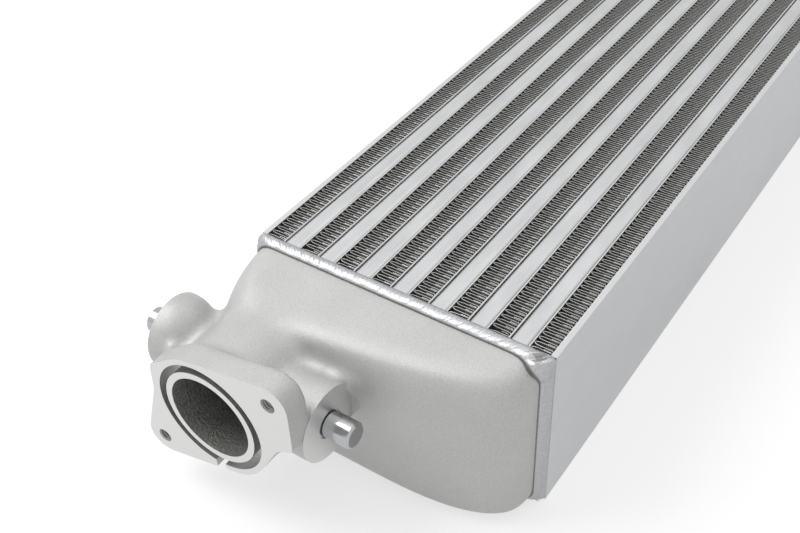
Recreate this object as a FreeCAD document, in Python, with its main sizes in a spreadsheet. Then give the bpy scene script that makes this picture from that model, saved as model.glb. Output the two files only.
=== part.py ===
import FreeCAD, Part
import Sketcher
import math
import os

# Bar-and-plate air-to-air intercooler with two cast end tanks.
# Millimetres. X runs along the core, from the inlet tank to the outlet tank.
# Y runs across the fin rows, Z up through the core's depth.
# The origin is the centre of the core's bottom face.

# Driving sizes: alias, value (millimetres unless the note says otherwise), note
SIZES = (
    ("CoreLength", 526.0, "core between the two end tanks"),
    ("CoreDepth", 88.9, "core from its bottom face to its top face"),
    ("FinRows", 8, "count of the rows that cooling air passes through"),
    ("RowHeight", 9.5, "clear height of a fin row between its parting sheets"),
    ("PassageWidth", 8.6, "clear width of a charge air passage, and of its bars"),
    ("SheetThickness", 0.6, "parting sheet"),
    ("PlateThickness", 2.0, "outer side plate"),
    ("BarDepth", 8.0, "charge bar, from the core's face inwards"),
    ("BarEdgeRadius", 2.0, "rolled outer edges of a charge bar"),
    ("EndBarWidth", 2.6, "bar that closes a fin row beside the tank"),
    ("FinWavePitch", 7.5, "one full wave of a cooling fin"),
    ("FinStock", 1.0, "fin strip, measured across the row"),
    ("FinRecess", 0.5, "fin edges below the core's faces"),
    ("FinEndGap", 0.4, "least gap between the last fold and its end bar"),
    ("TurbulatorWavePitch", 7.0, "one full wave of a charge air turbulator"),
    ("TurbulatorStock", 1.0, "turbulator strip, measured across the passage"),
    ("TurbulatorEndGap", 3.0, "turbulator short of each end of the core"),
    ("TurbulatorBarGap", 0.3, "least gap between the turbulator and a charge bar"),
    ("InsetNear", 3.6, "tank wall inside the core's -Y side, at the joint"),
    ("InsetFar", 0.8, "tank wall inside the core's +Y side, at the joint"),
    ("InsetRoof", 0.9, "tank roof and floor inside the core's top and bottom"),
    ("TankWall", 3.8, "cast wall of an end tank"),
    ("FrontWall", 5.0, "cast wall of the tank's front, along X"),
    ("TankReach", 38.0, "from the core's end to where the neck is round"),
    ("JointCorner", 9.0, "corner radius of the tank at the joint"),
    ("FlareNear", 4.1, "exponent of the -Y wall's sweep to the neck"),
    ("FlareFar", 2.72, "exponent of the +Y wall's sweep to the neck"),
    ("FlareFloor", 7.3, "exponent of the floor's rise to the neck"),
    ("FlareRoof", 0.8, "exponent of the roof's fall to the neck"),
    ("FlareCorner", 2.0, "exponent of the corner radius's growth"),
    ("FlareWall", 3.6, "exponent of the wall's growth to the neck"),
    ("NeckOffset", 42.4, "neck axis from the core's middle, along Y"),
    ("NeckHeight", 58.0, "neck axis above the core's bottom face"),
    ("NeckRadius", 27.2, "outside of the neck"),
    ("BoreRadius", 20.7, "duct bore through neck and flange"),
    ("BoreStep", 0.7, "cast duct inside the machined bore, where they meet"),
    ("FlangeReach", 76.1, "from the core's end to the flange face"),
    ("FlangeThickness", 12.0, "flange"),
    ("RimRadius", 30.5, "rounded rim of the flange round its seal groove"),
    ("GrooveInner", 23.9, "seal groove, inner radius"),
    ("GrooveOuter", 27.6, "seal groove, outer radius"),
    ("GrooveDepth", 8.5, "seal groove below the flange face"),
    ("GrooveGap", 5.2, "slot that opens the groove through the rim"),
    ("GrooveGapAngle", 268.0, "degrees, from +Y towards +Z"),
    ("BoltPitchRadius", 45.2, "flange holes from the bore's axis"),
    ("UpperBoltAngle", 141.3, "degrees, upper flange hole, from +Y towards +Z"),
    ("LowerBoltAngle", 316.3, "degrees, lower flange hole, from +Y towards +Z"),
    ("BoltHoleRadius", 3.4, "tapping size of a flange hole"),
    ("BoltHoleDepth", 10.0, "flange hole below the flange face"),
    ("UpperEar", 9.7, "radius of the flange's ear round the upper hole"),
    ("LowerEar", 8.9, "radius of the flange's ear round the lower hole"),
    ("HeelDrop", 21.8, "straight edge from the upper hole's level down to the heel"),
    ("HeelWidth", 8.4, "heel of the flange, along Y"),
    ("HeelRise", 3.7, "fall of the heel's lower edge"),
    ("CornerOut", 30.8, "far corner of the flange from the bore's axis, along Y"),
    ("CornerUp", 15.3, "far corner of the flange above the bore's axis"),
    ("WaistOut", 31.8, "edge between the far corner and the lower ear, along Y"),
    ("RimStartAngle", 46.0, "degrees, where the far edge meets the rim"),
    ("RimLeaveAngle", 71.0, "degrees, where the upper edge leaves the rim"),
    ("NotchAngle", 208.0, "degrees, where the heel's lower edge meets the rim"),
    ("RimEndAngle", 265.0, "degrees, where the lower edge leaves the rim"),
    ("LipAngle", 277.0, "degrees, where the straight lower edge starts"),
    ("LipRadius", 33.1, "start of the straight lower edge from the bore's axis"),
    ("PinSetback", 24.7, "locating pins behind the flange face"),
    ("BossRadius", 17.7, "boss that carries a locating pin"),
    ("BossSpan", 87.8, "across the two machined boss faces"),
    ("BossAllowance", 6.0, "cast boss beyond its two machined faces"),
    ("FarPinRise", 5.5, "far locating pin above the neck axis"),
    ("FarPinSetback", 3.6, "far locating pin further behind the flange than the near one"),
    ("FarBossEdge", 2.3, "straight side of the far boss, behind its machined face"),
    ("FarBossDome", 16.0, "domed back of the far boss, along Y"),
    ("FarBossRoot", 11.0, "radius of the root that joins the far boss to the neck"),
    ("SpotFaceClearance", 0.5, "spot face outside its boss"),
    ("PinRadius", 6.0, "locating pin outside its boss"),
    ("PinProjection", 13.2, "locating pin out of its boss face"),
    ("ShankRadius", 5.0, "shank of a locating pin, pressed into its boss"),
    ("ShankLength", 15.0, "shank of a locating pin"),
    ("PinChamfer", 1.0, "at the tip of a locating pin"),
    ("ReliefRadius", 6.9, "counterbore round a pin in its boss face"),
    ("ReliefDepth", 1.0, "counterbore below the boss face"),
    ("WeldCover", 3.0, "weld bead over the core's end, and side plates short of it"),
    ("WeldReach", 3.2, "weld bead along the tank"),
    ("WeldLip", 0.4, "thickness of the weld bead at its two edges"),
    ("WeldCrown", 0.9, "weld bead above the core's faces"),
    ("WeldDressing", 1.7, "weld bead ground off inside the core's -Y side"),
)

# Where a tank's sections stand, as shares of TankReach
SECTION_SHARES = (0.0, 0.15, 0.3, 0.45, 0.6, 0.72, 0.82, 0.9, 0.96, 1.0)
# Least straight run between the corner arcs of a tank section
SECTION_FLAT = 0.4

doc = FreeCAD.newDocument("Intercooler")
sheet = doc.addObject("Spreadsheet::Sheet", "Sizes")
for row, (alias, value, note) in enumerate(SIZES, start=1):
    sheet.set(f"A{row}", alias)
    sheet.set(f"B{row}", str(value))
    sheet.set(f"C{row}", note)
    sheet.setAlias(f"B{row}", alias)
doc.recompute()

X_AXIS = FreeCAD.Vector(1, 0, 0)
Y_AXIS = FreeCAD.Vector(0, 1, 0)
Z_AXIS = FreeCAD.Vector(0, 0, 1)
# Turns a drawing or a cylinder to stand across X: its x is Y, its y is Z
STANDING = FreeCAD.Rotation(Y_AXIS, Z_AXIS, X_AXIS, "ZXY")
HALF_TURN = FreeCAD.Rotation(X_AXIS, 180)
ALONG_Y = FreeCAD.Rotation(X_AXIS, -90)

# Expressions that several pieces share
PERIOD = "(Sizes.RowHeight + Sizes.PassageWidth + 2 * Sizes.SheetThickness)"
CORE_WIDTH = f"(Sizes.FinRows * {PERIOD} - Sizes.PassageWidth + 2 * Sizes.PlateThickness)"
CORE_END = "(-Sizes.CoreLength / 2)"
FLANGE_FACE = f"({CORE_END} - Sizes.FlangeReach)"

sub_parts = []


def size(alias):
    """The value of one cell of the sheet."""
    return float(sheet.get(alias))


def bind(target, **expressions):
    """Tie properties of an object to the sheet. A double underscore stands for a dot."""
    for name, expression in expressions.items():
        target.setExpression(name.replace("__", "."), str(expression))


def place(target, x="0", y="0", z="0"):
    """Tie an object's place to the sheet."""
    bind(target, Placement__Base__x=x, Placement__Base__y=y, Placement__Base__z=z)


def keep(target, label):
    """Name a finished sub-part and list it for export."""
    target.Label = label
    sub_parts.append(target)
    return target


def row_start(row):
    """Y of the lower side of a fin row, as an expression."""
    return f"(-{CORE_WIDTH} / 2 + Sizes.PlateThickness + Sizes.SheetThickness + {row} * {PERIOD})"


def passage_start(passage):
    """Y of the lower side of a charge air passage, as an expression."""
    return f"({row_start(passage)} + Sizes.RowHeight + Sizes.SheetThickness)"


# Drawing helpers


def tie(sketch, kind, *places_and_value, to):
    """Add a dimension to a sketch and tie it to an expression."""
    constraint = sketch.addConstraint(Sketcher.Constraint(kind, *places_and_value))
    sketch.setExpression(f"Constraints[{constraint}]", to)


def draw_rectangle(sketch, width, height):
    """Draw a rectangle from the sketch's origin, its two sizes tied to expressions."""
    corners = [FreeCAD.Vector(x, y, 0) for x, y in ((0, 0), (5, 0), (5, 5), (0, 5))]
    for index, corner in enumerate(corners):
        sketch.addGeometry(Part.LineSegment(corner, corners[(index + 1) % 4]), False)
    for index in range(4):
        sketch.addConstraint(Sketcher.Constraint("Coincident", index, 2, (index + 1) % 4, 1))
    for index in (0, 2):
        sketch.addConstraint(Sketcher.Constraint("Horizontal", index))
        sketch.addConstraint(Sketcher.Constraint("Vertical", index + 1))
    sketch.addConstraint(Sketcher.Constraint("Coincident", 0, 1, -1, 1))
    tie(sketch, "DistanceX", 0, 1, 0, 2, 5.0, to=width)
    tie(sketch, "DistanceY", 1, 1, 1, 2, 5.0, to=height)


def draw_circle(sketch, radius):
    """Draw a circle round the sketch's origin, its radius tied to an expression."""
    sketch.addGeometry(Part.Circle(FreeCAD.Vector(0, 0, 0), Z_AXIS, 5.0), False)
    sketch.addConstraint(Sketcher.Constraint("Coincident", 0, 3, -1, 1))
    tie(sketch, "Radius", 0, 5.0, to=radius)


def padded_body(name, plane, draw, length):
    """A body with one sketch on one of its origin planes, and a pad of it."""
    body = doc.addObject("PartDesign::Body", name)
    sketch = body.newObject("Sketcher::SketchObject", f"{name}_section")
    support = next(item for item in body.Origin.OriginFeatures if item.Role == plane)
    sketch.AttachmentSupport = [(support, "")]
    sketch.MapMode = "FlatFace"
    draw(sketch)
    pad = body.newObject("PartDesign::Pad", f"{name}_pad")
    pad.Profile = sketch
    bind(pad, Length=length)
    doc.recompute()
    return body, pad


def edges_where(shape, wanted):
    """Names of the edges whose middle passes a test."""
    middles = [edge.valueAt((edge.FirstParameter + edge.LastParameter) / 2) for edge in shape.Edges]
    return [f"Edge{index}" for index, middle in enumerate(middles, start=1) if wanted(middle)]


# Charge bars: long bars with rolled outer edges that close the charge passages


def make_charge_bar(name):
    """A bar that lies along X, its rolled edges upwards."""

    def section(sketch):
        draw_rectangle(sketch, "Sizes.PassageWidth", "Sizes.BarDepth")

    body, pad = padded_body(name, "YZ_Plane", section, "Sizes.CoreLength")
    top = size("BarDepth")
    long_middle = size("CoreLength") / 2
    rolled = edges_where(
        pad.Shape,
        lambda point: abs(point.z - top) < 0.01 and abs(point.x - long_middle) < 0.01,
    )
    fillet = body.newObject("PartDesign::Fillet", f"{name}_rolled_edges")
    fillet.Base = (pad, rolled)
    bind(fillet, Radius="Sizes.BarEdgeRadius")
    body.Tip = fillet
    return body


def make_charge_bars():
    """One bar at the top and one at the bottom of each charge passage."""
    for passage in range(int(size("FinRows")) - 1):
        top = make_charge_bar(f"top_bar_{passage + 1}")
        place(top, CORE_END, passage_start(passage), "Sizes.CoreDepth - Sizes.BarDepth")
        keep(top, f"charge_bar_top_{passage + 1}")
        bottom = make_charge_bar(f"bottom_bar_{passage + 1}")
        bottom.Placement.Rotation = HALF_TURN
        place(bottom, CORE_END, f"{passage_start(passage)} + Sizes.PassageWidth", "Sizes.BarDepth")
        keep(bottom, f"charge_bar_bottom_{passage + 1}")


# Parting sheets and side plates: flat stock between and outside the rows


def make_flat(name, y, thickness, short="0"):
    """A flat piece as deep as the core, and short of each of its ends."""
    flat = doc.addObject("Part::Box", name)
    bind(
        flat,
        Length=f"Sizes.CoreLength - 2 * {short}",
        Width=thickness,
        Height="Sizes.CoreDepth",
    )
    place(flat, f"{CORE_END} + {short}", y)
    return keep(flat, name)


def make_flats():
    """A parting sheet on each side of each fin row, and the two side plates."""
    sheet_stock = "Sizes.SheetThickness"
    for row in range(int(size("FinRows"))):
        number = 2 * row + 1
        make_flat(f"parting_sheet_{number:02d}", f"{row_start(row)} - {sheet_stock}", sheet_stock)
        other_side = f"{row_start(row)} + Sizes.RowHeight"
        make_flat(f"parting_sheet_{number + 1:02d}", other_side, sheet_stock)
    plate_stock = "Sizes.PlateThickness"
    make_flat("side_plate_near", f"-{CORE_WIDTH} / 2", plate_stock, "Sizes.WeldCover")
    make_flat("side_plate_far", f"{CORE_WIDTH} / 2 - {plate_stock}", plate_stock, "Sizes.WeldCover")


# Folded strips: the cooling fins and the charge air turbulators


def folded_strip(length, pitch, height, stock):
    """Outline of a zigzag strip along x, its folds touching 0 and the height."""
    half_waves = 2 * int(length / pitch)
    step = length / half_waves
    outer = []
    inner = []
    for fold in range(half_waves + 1):
        x = fold * step
        if fold % 2:
            outer.append(FreeCAD.Vector(x, height, 0))
            inner.append(FreeCAD.Vector(x, height - stock, 0))
        else:
            outer.append(FreeCAD.Vector(x, stock, 0))
            inner.append(FreeCAD.Vector(x, 0, 0))
    return inner + outer[::-1]


def extruded(name, outline, rotation, length):
    """A closed polygon and its extrusion along the polygon's own normal."""
    polygon = doc.addObject("Part::Polygon", f"{name}_outline")
    polygon.Nodes = outline
    polygon.Close = True
    strip = doc.addObject("Part::Extrusion", name)
    strip.Base = polygon
    strip.DirMode = "Custom"
    strip.Dir = Z_AXIS
    strip.Solid = True
    strip.Placement.Rotation = rotation
    bind(strip, LengthFwd=length)
    return strip


def make_fins():
    """One folded fin between the parting sheets and end bars of each row."""
    end_room = size("EndBarWidth") + size("FinEndGap")
    outline = folded_strip(
        size("CoreLength") - 2 * end_room,
        size("FinWavePitch"),
        size("RowHeight"),
        size("FinStock"),
    )
    for row in range(int(size("FinRows"))):
        fin = extruded(
            f"cooling_fin_{row + 1}",
            outline,
            FreeCAD.Rotation(),
            "Sizes.CoreDepth - 2 * Sizes.FinRecess",
        )
        place(
            fin,
            f"{CORE_END} + Sizes.EndBarWidth + Sizes.FinEndGap",
            row_start(row),
            "Sizes.FinRecess",
        )
        keep(fin, f"cooling_fin_{row + 1}")


def make_turbulators():
    """One folded strip along each charge passage, its folds side by side in Z."""
    bar_room = size("BarDepth") + size("TurbulatorBarGap")
    outline = folded_strip(
        size("CoreDepth") - 2 * bar_room,
        size("TurbulatorWavePitch"),
        size("PassageWidth"),
        size("TurbulatorStock"),
    )
    # The strip's x is Z and its y is Y, so its length runs towards -X
    upright = FreeCAD.Rotation(Z_AXIS, Y_AXIS, -X_AXIS, "ZXY")
    for passage in range(int(size("FinRows")) - 1):
        turbulator = extruded(
            f"turbulator_{passage + 1}",
            outline,
            upright,
            "Sizes.CoreLength - 2 * Sizes.TurbulatorEndGap",
        )
        place(
            turbulator,
            f"-{CORE_END} - Sizes.TurbulatorEndGap",
            passage_start(passage),
            "Sizes.BarDepth + Sizes.TurbulatorBarGap",
        )
        keep(turbulator, f"turbulator_{passage + 1}")


# End bars: short bars that close the fin rows beside each tank


def make_end_bars(label, x):
    """A full set of end bars at one end of the core, as separate solids."""
    bars = []
    for row in range(int(size("FinRows"))):
        bar = doc.addObject("Part::Box", f"{label}_{row + 1}")
        bind(bar, Length="Sizes.EndBarWidth", Width="Sizes.RowHeight", Height="Sizes.CoreDepth")
        place(bar, x, row_start(row))
        bars.append(bar)
    group = doc.addObject("Part::Compound", label)
    group.Links = bars
    keep(group, label)


# End tank: a hollow casting that sweeps from the core's end to a round neck


def swept(start, end, exponent, share):
    """A size that runs from start at the joint to end at the neck, as an expression."""
    return f"({start} + ({end} - ({start})) * {share} ^ {exponent})"


def tank_section(name, share, wall="0", front="0"):
    """A rounded rectangle across X, inside the tank's outer face by a wall, and by a front wall."""
    near = swept(
        f"-{CORE_WIDTH} / 2 + Sizes.InsetNear",
        "Sizes.NeckOffset - Sizes.NeckRadius",
        "Sizes.FlareNear",
        share,
    )
    far = swept(
        f"{CORE_WIDTH} / 2 - Sizes.InsetFar",
        "Sizes.NeckOffset + Sizes.NeckRadius",
        "Sizes.FlareFar",
        share,
    )
    floor = swept(
        "Sizes.InsetRoof",
        "Sizes.NeckHeight - Sizes.NeckRadius",
        "Sizes.FlareFloor",
        share,
    )
    roof = swept(
        "Sizes.CoreDepth - Sizes.InsetRoof",
        "Sizes.NeckHeight + Sizes.NeckRadius",
        "Sizes.FlareRoof",
        share,
    )
    corner = swept(
        "Sizes.JointCorner",
        f"Sizes.NeckRadius - {SECTION_FLAT} / 2",
        "Sizes.FlareCorner",
        share,
    )
    return rounded_section(
        name,
        f"{CORE_END} - (Sizes.TankReach - {front}) * {share}",
        (f"{near} + {wall}", f"{far} - {wall}", f"{floor} + {wall}", f"{roof} - {wall}"),
        f"{corner} - {wall}",
    )


def rounded_section(name, x, sides, corner):
    """A closed sketch across X: +Y and +Z sides, -Y and -Z sides, and four corner arcs."""
    sketch = doc.addObject("Sketcher::SketchObject", name)
    sketch.Placement.Rotation = STANDING
    place(sketch, x)
    draft_radius = 5.0
    draft_inner = 15.0
    centres = ((1, -1), (1, 1), (-1, 1), (-1, -1))
    for index, (y, z) in enumerate(centres):
        start = math.radians(-90 + 90 * index)
        stop = start + math.pi / 2
        centre = FreeCAD.Vector(y, z, 0) * draft_inner
        arc = Part.ArcOfCircle(Part.Circle(centre, Z_AXIS, draft_radius), start, stop)
        sketch.addGeometry(arc, False)
        arc_end = centre + FreeCAD.Vector(math.cos(stop), math.sin(stop), 0) * draft_radius
        along = FreeCAD.Vector(-math.sin(stop), math.cos(stop), 0)
        sketch.addGeometry(Part.LineSegment(arc_end, arc_end + along * 2 * draft_inner), False)
    # Even items are the corner arcs, odd items the sides: 1 far, 3 roof, 5 near, 7 floor
    for arc in (0, 2, 4, 6):
        sketch.addConstraint(Sketcher.Constraint("Tangent", arc, 2, arc + 1, 1))
        sketch.addConstraint(Sketcher.Constraint("Tangent", arc + 1, 2, (arc + 2) % 8, 1))
    for arc in (2, 4, 6):
        sketch.addConstraint(Sketcher.Constraint("Equal", 0, arc))
    for side in (1, 5):
        sketch.addConstraint(Sketcher.Constraint("Vertical", side))
        sketch.addConstraint(Sketcher.Constraint("Horizontal", side + 2))
    near, far, floor, roof = sides
    tie(sketch, "Radius", 0, draft_radius, to=corner)
    tie(sketch, "DistanceX", -1, 1, 1, 1, 20.0, to=far)
    tie(sketch, "DistanceX", -1, 1, 5, 1, -20.0, to=near)
    tie(sketch, "DistanceY", -1, 1, 3, 1, 20.0, to=roof)
    tie(sketch, "DistanceY", -1, 1, 7, 1, -20.0, to=floor)
    return sketch


def lofted(name, sections, ruled=False):
    """A solid through sections, in their order."""
    loft = doc.addObject("Part::Loft", name)
    loft.Sections = sections
    loft.Solid = True
    loft.Ruled = ruled
    loft.MaxDegree = 3
    return loft


def make_cylinder(name, rotation, radius, length, x, y="Sizes.NeckOffset", z="Sizes.NeckHeight"):
    """A cylinder from a point, along its turned axis."""
    cylinder = doc.addObject("Part::Cylinder", name)
    cylinder.Placement.Rotation = rotation
    bind(cylinder, Radius=radius, Height=length)
    place(cylinder, x, y, z)
    return cylinder


def combined(kind, name, *pieces):
    """A boolean of two pieces, or of a list of pieces."""
    result = doc.addObject(kind, name)
    if kind == "Part::MultiFuse":
        result.Shapes = list(pieces)
    else:
        result.Base, result.Tool = pieces
    return result


# Flange: a two-eared outline round the bore, with a rounded rim and a heel


def polar(radius, degrees):
    """A point about the bore's axis, from +Y towards +Z."""
    angle = math.radians(degrees)
    return FreeCAD.Vector(math.cos(angle), math.sin(angle), 0) * radius


def tangent_point(centre, radius, start, turn):
    """Where a line from start touches a circle. Turn is -1 for the right of it, 1 for the left."""
    away = centre - start
    swing = math.asin(radius / away.Length)
    run = math.sqrt(away.Length ** 2 - radius ** 2)
    heading = math.atan2(away.y, away.x) + turn * swing
    return start + FreeCAD.Vector(math.cos(heading), math.sin(heading), 0) * run


def arc_between(start, stop, centre):
    """The arc from start to stop, counter-clockwise about a centre."""
    first = math.atan2(start.y - centre.y, start.x - centre.x)
    last = math.atan2(stop.y - centre.y, stop.x - centre.x)
    circle = Part.Circle(centre, Z_AXIS, (start - centre).Length)
    return Part.ArcOfCircle(circle, first, last)


def flange_outline():
    """The flange's outline about the bore's axis, counter-clockwise from its far corner."""
    axis = FreeCAD.Vector(0, 0, 0)
    rim = size("RimRadius")
    upper = polar(size("BoltPitchRadius"), size("UpperBoltAngle"))
    lower = polar(size("BoltPitchRadius"), size("LowerBoltAngle"))
    corner = FreeCAD.Vector(size("CornerOut"), size("CornerUp"), 0)
    rim_start = polar(rim, size("RimStartAngle"))
    rim_leave = polar(rim, size("RimLeaveAngle"))
    upper_touch = tangent_point(upper, size("UpperEar"), rim_leave, -1)
    upper_side = upper - FreeCAD.Vector(size("UpperEar"), 0, 0)
    heel = upper_side - FreeCAD.Vector(0, size("HeelDrop"), 0)
    heel_inner = heel + FreeCAD.Vector(size("HeelWidth"), -size("HeelRise"), 0)
    notch = polar(rim, size("NotchAngle"))
    rim_end = polar(rim, size("RimEndAngle"))
    lip = polar(size("LipRadius"), size("LipAngle"))
    lower_touch = tangent_point(lower, size("LowerEar"), lip, -1)
    waist = FreeCAD.Vector(size("WaistOut"), 0, 0)
    lower_leave = tangent_point(lower, size("LowerEar"), waist, 1)
    return (
        Part.LineSegment(corner, rim_start),
        arc_between(rim_start, rim_leave, axis),
        Part.LineSegment(rim_leave, upper_touch),
        arc_between(upper_touch, upper_side, upper),
        Part.LineSegment(upper_side, heel),
        Part.LineSegment(heel, heel_inner),
        Part.LineSegment(heel_inner, notch),
        arc_between(notch, rim_end, axis),
        Part.LineSegment(rim_end, lip),
        Part.LineSegment(lip, lower_touch),
        arc_between(lower_touch, lower_leave, lower),
        Part.LineSegment(lower_leave, waist),
        Part.LineSegment(waist, corner),
    )


def make_flange():
    """The flange plate, from its face towards the core."""
    sketch = doc.addObject("Sketcher::SketchObject", "flange_outline")
    sketch.Placement.Rotation = STANDING
    sketch.addGeometry(list(flange_outline()), False)
    place(sketch, FLANGE_FACE, "Sizes.NeckOffset", "Sizes.NeckHeight")
    plate = doc.addObject("Part::Extrusion", "flange_plate")
    plate.Base = sketch
    plate.DirMode = "Custom"
    plate.Dir = X_AXIS
    plate.Solid = True
    bind(plate, LengthFwd="Sizes.FlangeThickness")
    return plate


# Holes and recesses of the flange and the bosses


def make_groove():
    """The seal groove: a ring, opened through the rim by a slot."""
    depth = "Sizes.GrooveDepth"
    outer = make_cylinder("groove_outer", STANDING, "Sizes.GrooveOuter", depth, FLANGE_FACE)
    inner = make_cylinder("groove_inner", STANDING, "Sizes.GrooveInner", depth, FLANGE_FACE)
    ring = combined("Part::Cut", "groove_ring", outer, inner)
    slot = doc.addObject("Part::Box", "groove_slot")
    bind(slot, Length="Sizes.LipRadius", Width="Sizes.GrooveGap", Height=depth)
    angle = size("GrooveGapAngle")
    # The slot's length runs outwards from the groove, its height away from the flange face
    turn = FreeCAD.Rotation(X_AXIS, angle).multiply(FreeCAD.Rotation(Y_AXIS, Z_AXIS, X_AXIS, "ZXY"))
    slot.Placement.Rotation = turn
    middle = "(Sizes.GrooveInner + Sizes.GrooveOuter) / 2"
    half_gap = "Sizes.GrooveGap / 2"
    cosine = math.cos(math.radians(angle))
    sine = math.sin(math.radians(angle))
    place(
        slot,
        FLANGE_FACE,
        f"Sizes.NeckOffset + ({middle}) * {cosine} + {half_gap} * {sine}",
        f"Sizes.NeckHeight + ({middle}) * {sine} - {half_gap} * {cosine}",
    )
    return combined("Part::MultiFuse", "seal_groove", ring, slot)


def make_bolt_hole(name, angle):
    """A blind hole in the flange face."""
    spot = polar(size("BoltPitchRadius"), angle)
    return make_cylinder(
        name,
        STANDING,
        "Sizes.BoltHoleRadius",
        "Sizes.BoltHoleDepth",
        FLANGE_FACE,
        f"Sizes.NeckOffset + {spot.x}",
        f"Sizes.NeckHeight + {spot.y}",
    )


def pin_axis(side):
    """X and Z of a locating pin's axis. Side is -1 for near, 1 for far."""
    near_x = f"({FLANGE_FACE} + Sizes.PinSetback)"
    if side < 0:
        return near_x, "Sizes.NeckHeight"
    return f"({near_x} + Sizes.FarPinSetback)", "(Sizes.NeckHeight + Sizes.FarPinRise)"


def make_boss_cuts(name, side):
    """Shank hole, counterbore and spot face of one boss. Side is -1 for near, 1 for far."""
    boss_face = f"Sizes.NeckOffset + {side} * Sizes.BossSpan / 2"
    outwards = ALONG_Y if side > 0 else ALONG_Y.multiply(HALF_TURN)
    pin_x, pin_z = pin_axis(side)
    hole_depth = "(Sizes.ReliefDepth + Sizes.ShankLength)"
    hole = make_cylinder(
        f"{name}_hole",
        outwards,
        "Sizes.ShankRadius",
        hole_depth,
        pin_x,
        f"{boss_face} - {side} * {hole_depth}",
        pin_z,
    )
    relief = make_cylinder(
        f"{name}_relief",
        outwards,
        "Sizes.ReliefRadius",
        "Sizes.ReliefDepth",
        pin_x,
        f"{boss_face} - {side} * Sizes.ReliefDepth",
        pin_z,
    )
    spot_face = make_cylinder(
        f"{name}_spot_face",
        outwards,
        "Sizes.BossRadius + Sizes.SpotFaceClearance",
        "Sizes.BossSpan",
        pin_x,
        boss_face,
        pin_z,
    )
    return hole, relief, spot_face


def make_duct_form():
    """The space inside the swept shell."""
    neck_wall = "(Sizes.NeckRadius - Sizes.BoreRadius + Sizes.BoreStep)"
    sections = []
    for index, share in enumerate(SECTION_SHARES):
        wall = swept("Sizes.TankWall", neck_wall, "Sizes.FlareWall", share)
        sections.append(tank_section(f"duct_section_{index}", share, wall, "Sizes.FrontWall"))
    return lofted("duct_form", sections)


def make_neck(last_section):
    """The neck carries the last section of the swept shell on to the flange face."""
    neck = doc.addObject("Part::Extrusion", "neck")
    neck.Base = last_section
    neck.DirMode = "Custom"
    neck.Dir = -X_AXIS
    neck.Solid = True
    bind(neck, LengthFwd="Sizes.FlangeReach - Sizes.TankReach")
    return neck


def make_near_boss():
    """The near pin's boss: a round bar from the neck out to its machined face."""
    pin_x, pin_z = pin_axis(-1)
    return make_cylinder(
        "near_boss",
        ALONG_Y,
        "Sizes.BossRadius",
        "Sizes.BossSpan / 2 + Sizes.BossAllowance",
        pin_x,
        "Sizes.NeckOffset - Sizes.BossSpan / 2 - Sizes.BossAllowance",
        pin_z,
    )


def make_far_boss():
    """The far pin's boss: it stands higher, with a domed back and a root to the neck."""
    pin_x, pin_z = pin_axis(1)
    dome_y = "Sizes.NeckOffset + Sizes.BossSpan / 2 - Sizes.FarBossEdge"
    edge = make_cylinder(
        "far_boss_edge",
        ALONG_Y,
        "Sizes.BossRadius",
        "Sizes.FarBossEdge + Sizes.BossAllowance",
        pin_x,
        dome_y,
        pin_z,
    )
    dome = doc.addObject("Part::Ellipsoid", "far_boss_dome")
    dome.Placement.Rotation = ALONG_Y
    # Only the half that faces the neck
    dome.Angle2 = 0
    bind(dome, Radius1="Sizes.FarBossDome", Radius2="Sizes.BossRadius", Radius3="Sizes.BossRadius")
    place(dome, pin_x, dome_y, pin_z)
    root = make_cylinder(
        "far_boss_root",
        ALONG_Y,
        "Sizes.FarBossRoot",
        "Sizes.BossSpan / 2 - Sizes.FarBossEdge",
        pin_x,
    )
    return edge, dome, root


def make_end_tank(outer_form):
    """The inlet tank: swept shell, neck, flange and pin bosses, then everything cut from it."""
    neck = make_neck(outer_form.Sections[-1])
    solids = (outer_form, neck, make_flange(), make_near_boss(), *make_far_boss())
    casting = combined("Part::MultiFuse", "casting", *solids)
    bore = make_cylinder(
        "bore",
        STANDING,
        "Sizes.BoreRadius",
        "Sizes.FlangeReach - Sizes.TankReach + Sizes.FrontWall",
        FLANGE_FACE,
    )
    cuts = combined(
        "Part::MultiFuse",
        "machining",
        make_duct_form(),
        bore,
        make_groove(),
        make_bolt_hole("upper_bolt_hole", size("UpperBoltAngle")),
        make_bolt_hole("lower_bolt_hole", size("LowerBoltAngle")),
        *make_boss_cuts("near_pin", -1),
        *make_boss_cuts("far_pin", 1),
    )
    return keep(combined("Part::Cut", "inlet_tank", casting, cuts), "end_tank_inlet")


def make_weld(outer_form):
    """The weld bead round the joint: a ring over the core's end and down to the tank wall."""

    def ring_section(name, x, proud, dressing="0"):
        sides = (
            f"-{CORE_WIDTH} / 2 + {dressing}",
            f"{CORE_WIDTH} / 2 + {proud}",
            "0",
            f"Sizes.CoreDepth + {proud}",
        )
        return rounded_section(name, x, sides, "Sizes.JointCorner / 2")

    share = size("WeldReach") / size("TankReach")
    sections = [
        ring_section("weld_at_plate", f"{CORE_END} + Sizes.WeldCover", "Sizes.WeldLip"),
        ring_section("weld_crown", CORE_END, "Sizes.WeldCrown", "Sizes.WeldDressing"),
        tank_section("weld_at_tank", share, "-Sizes.WeldLip"),
    ]
    bead = lofted("weld_form", sections, ruled=True)
    core_end = doc.addObject("Part::Box", "core_inside_weld")
    bind(
        core_end,
        Length="Sizes.WeldCover",
        Width=f"{CORE_WIDTH} - 2 * Sizes.PlateThickness",
        Height="Sizes.CoreDepth",
    )
    place(core_end, CORE_END, f"-{CORE_WIDTH} / 2 + Sizes.PlateThickness")
    filled = combined("Part::MultiFuse", "core_and_tank", core_end, outer_form)
    return keep(combined("Part::Cut", "inlet_weld", bead, filled), "tank_weld_inlet")


# Locating pins: shouldered dowels, their shanks pressed into the bosses


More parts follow.
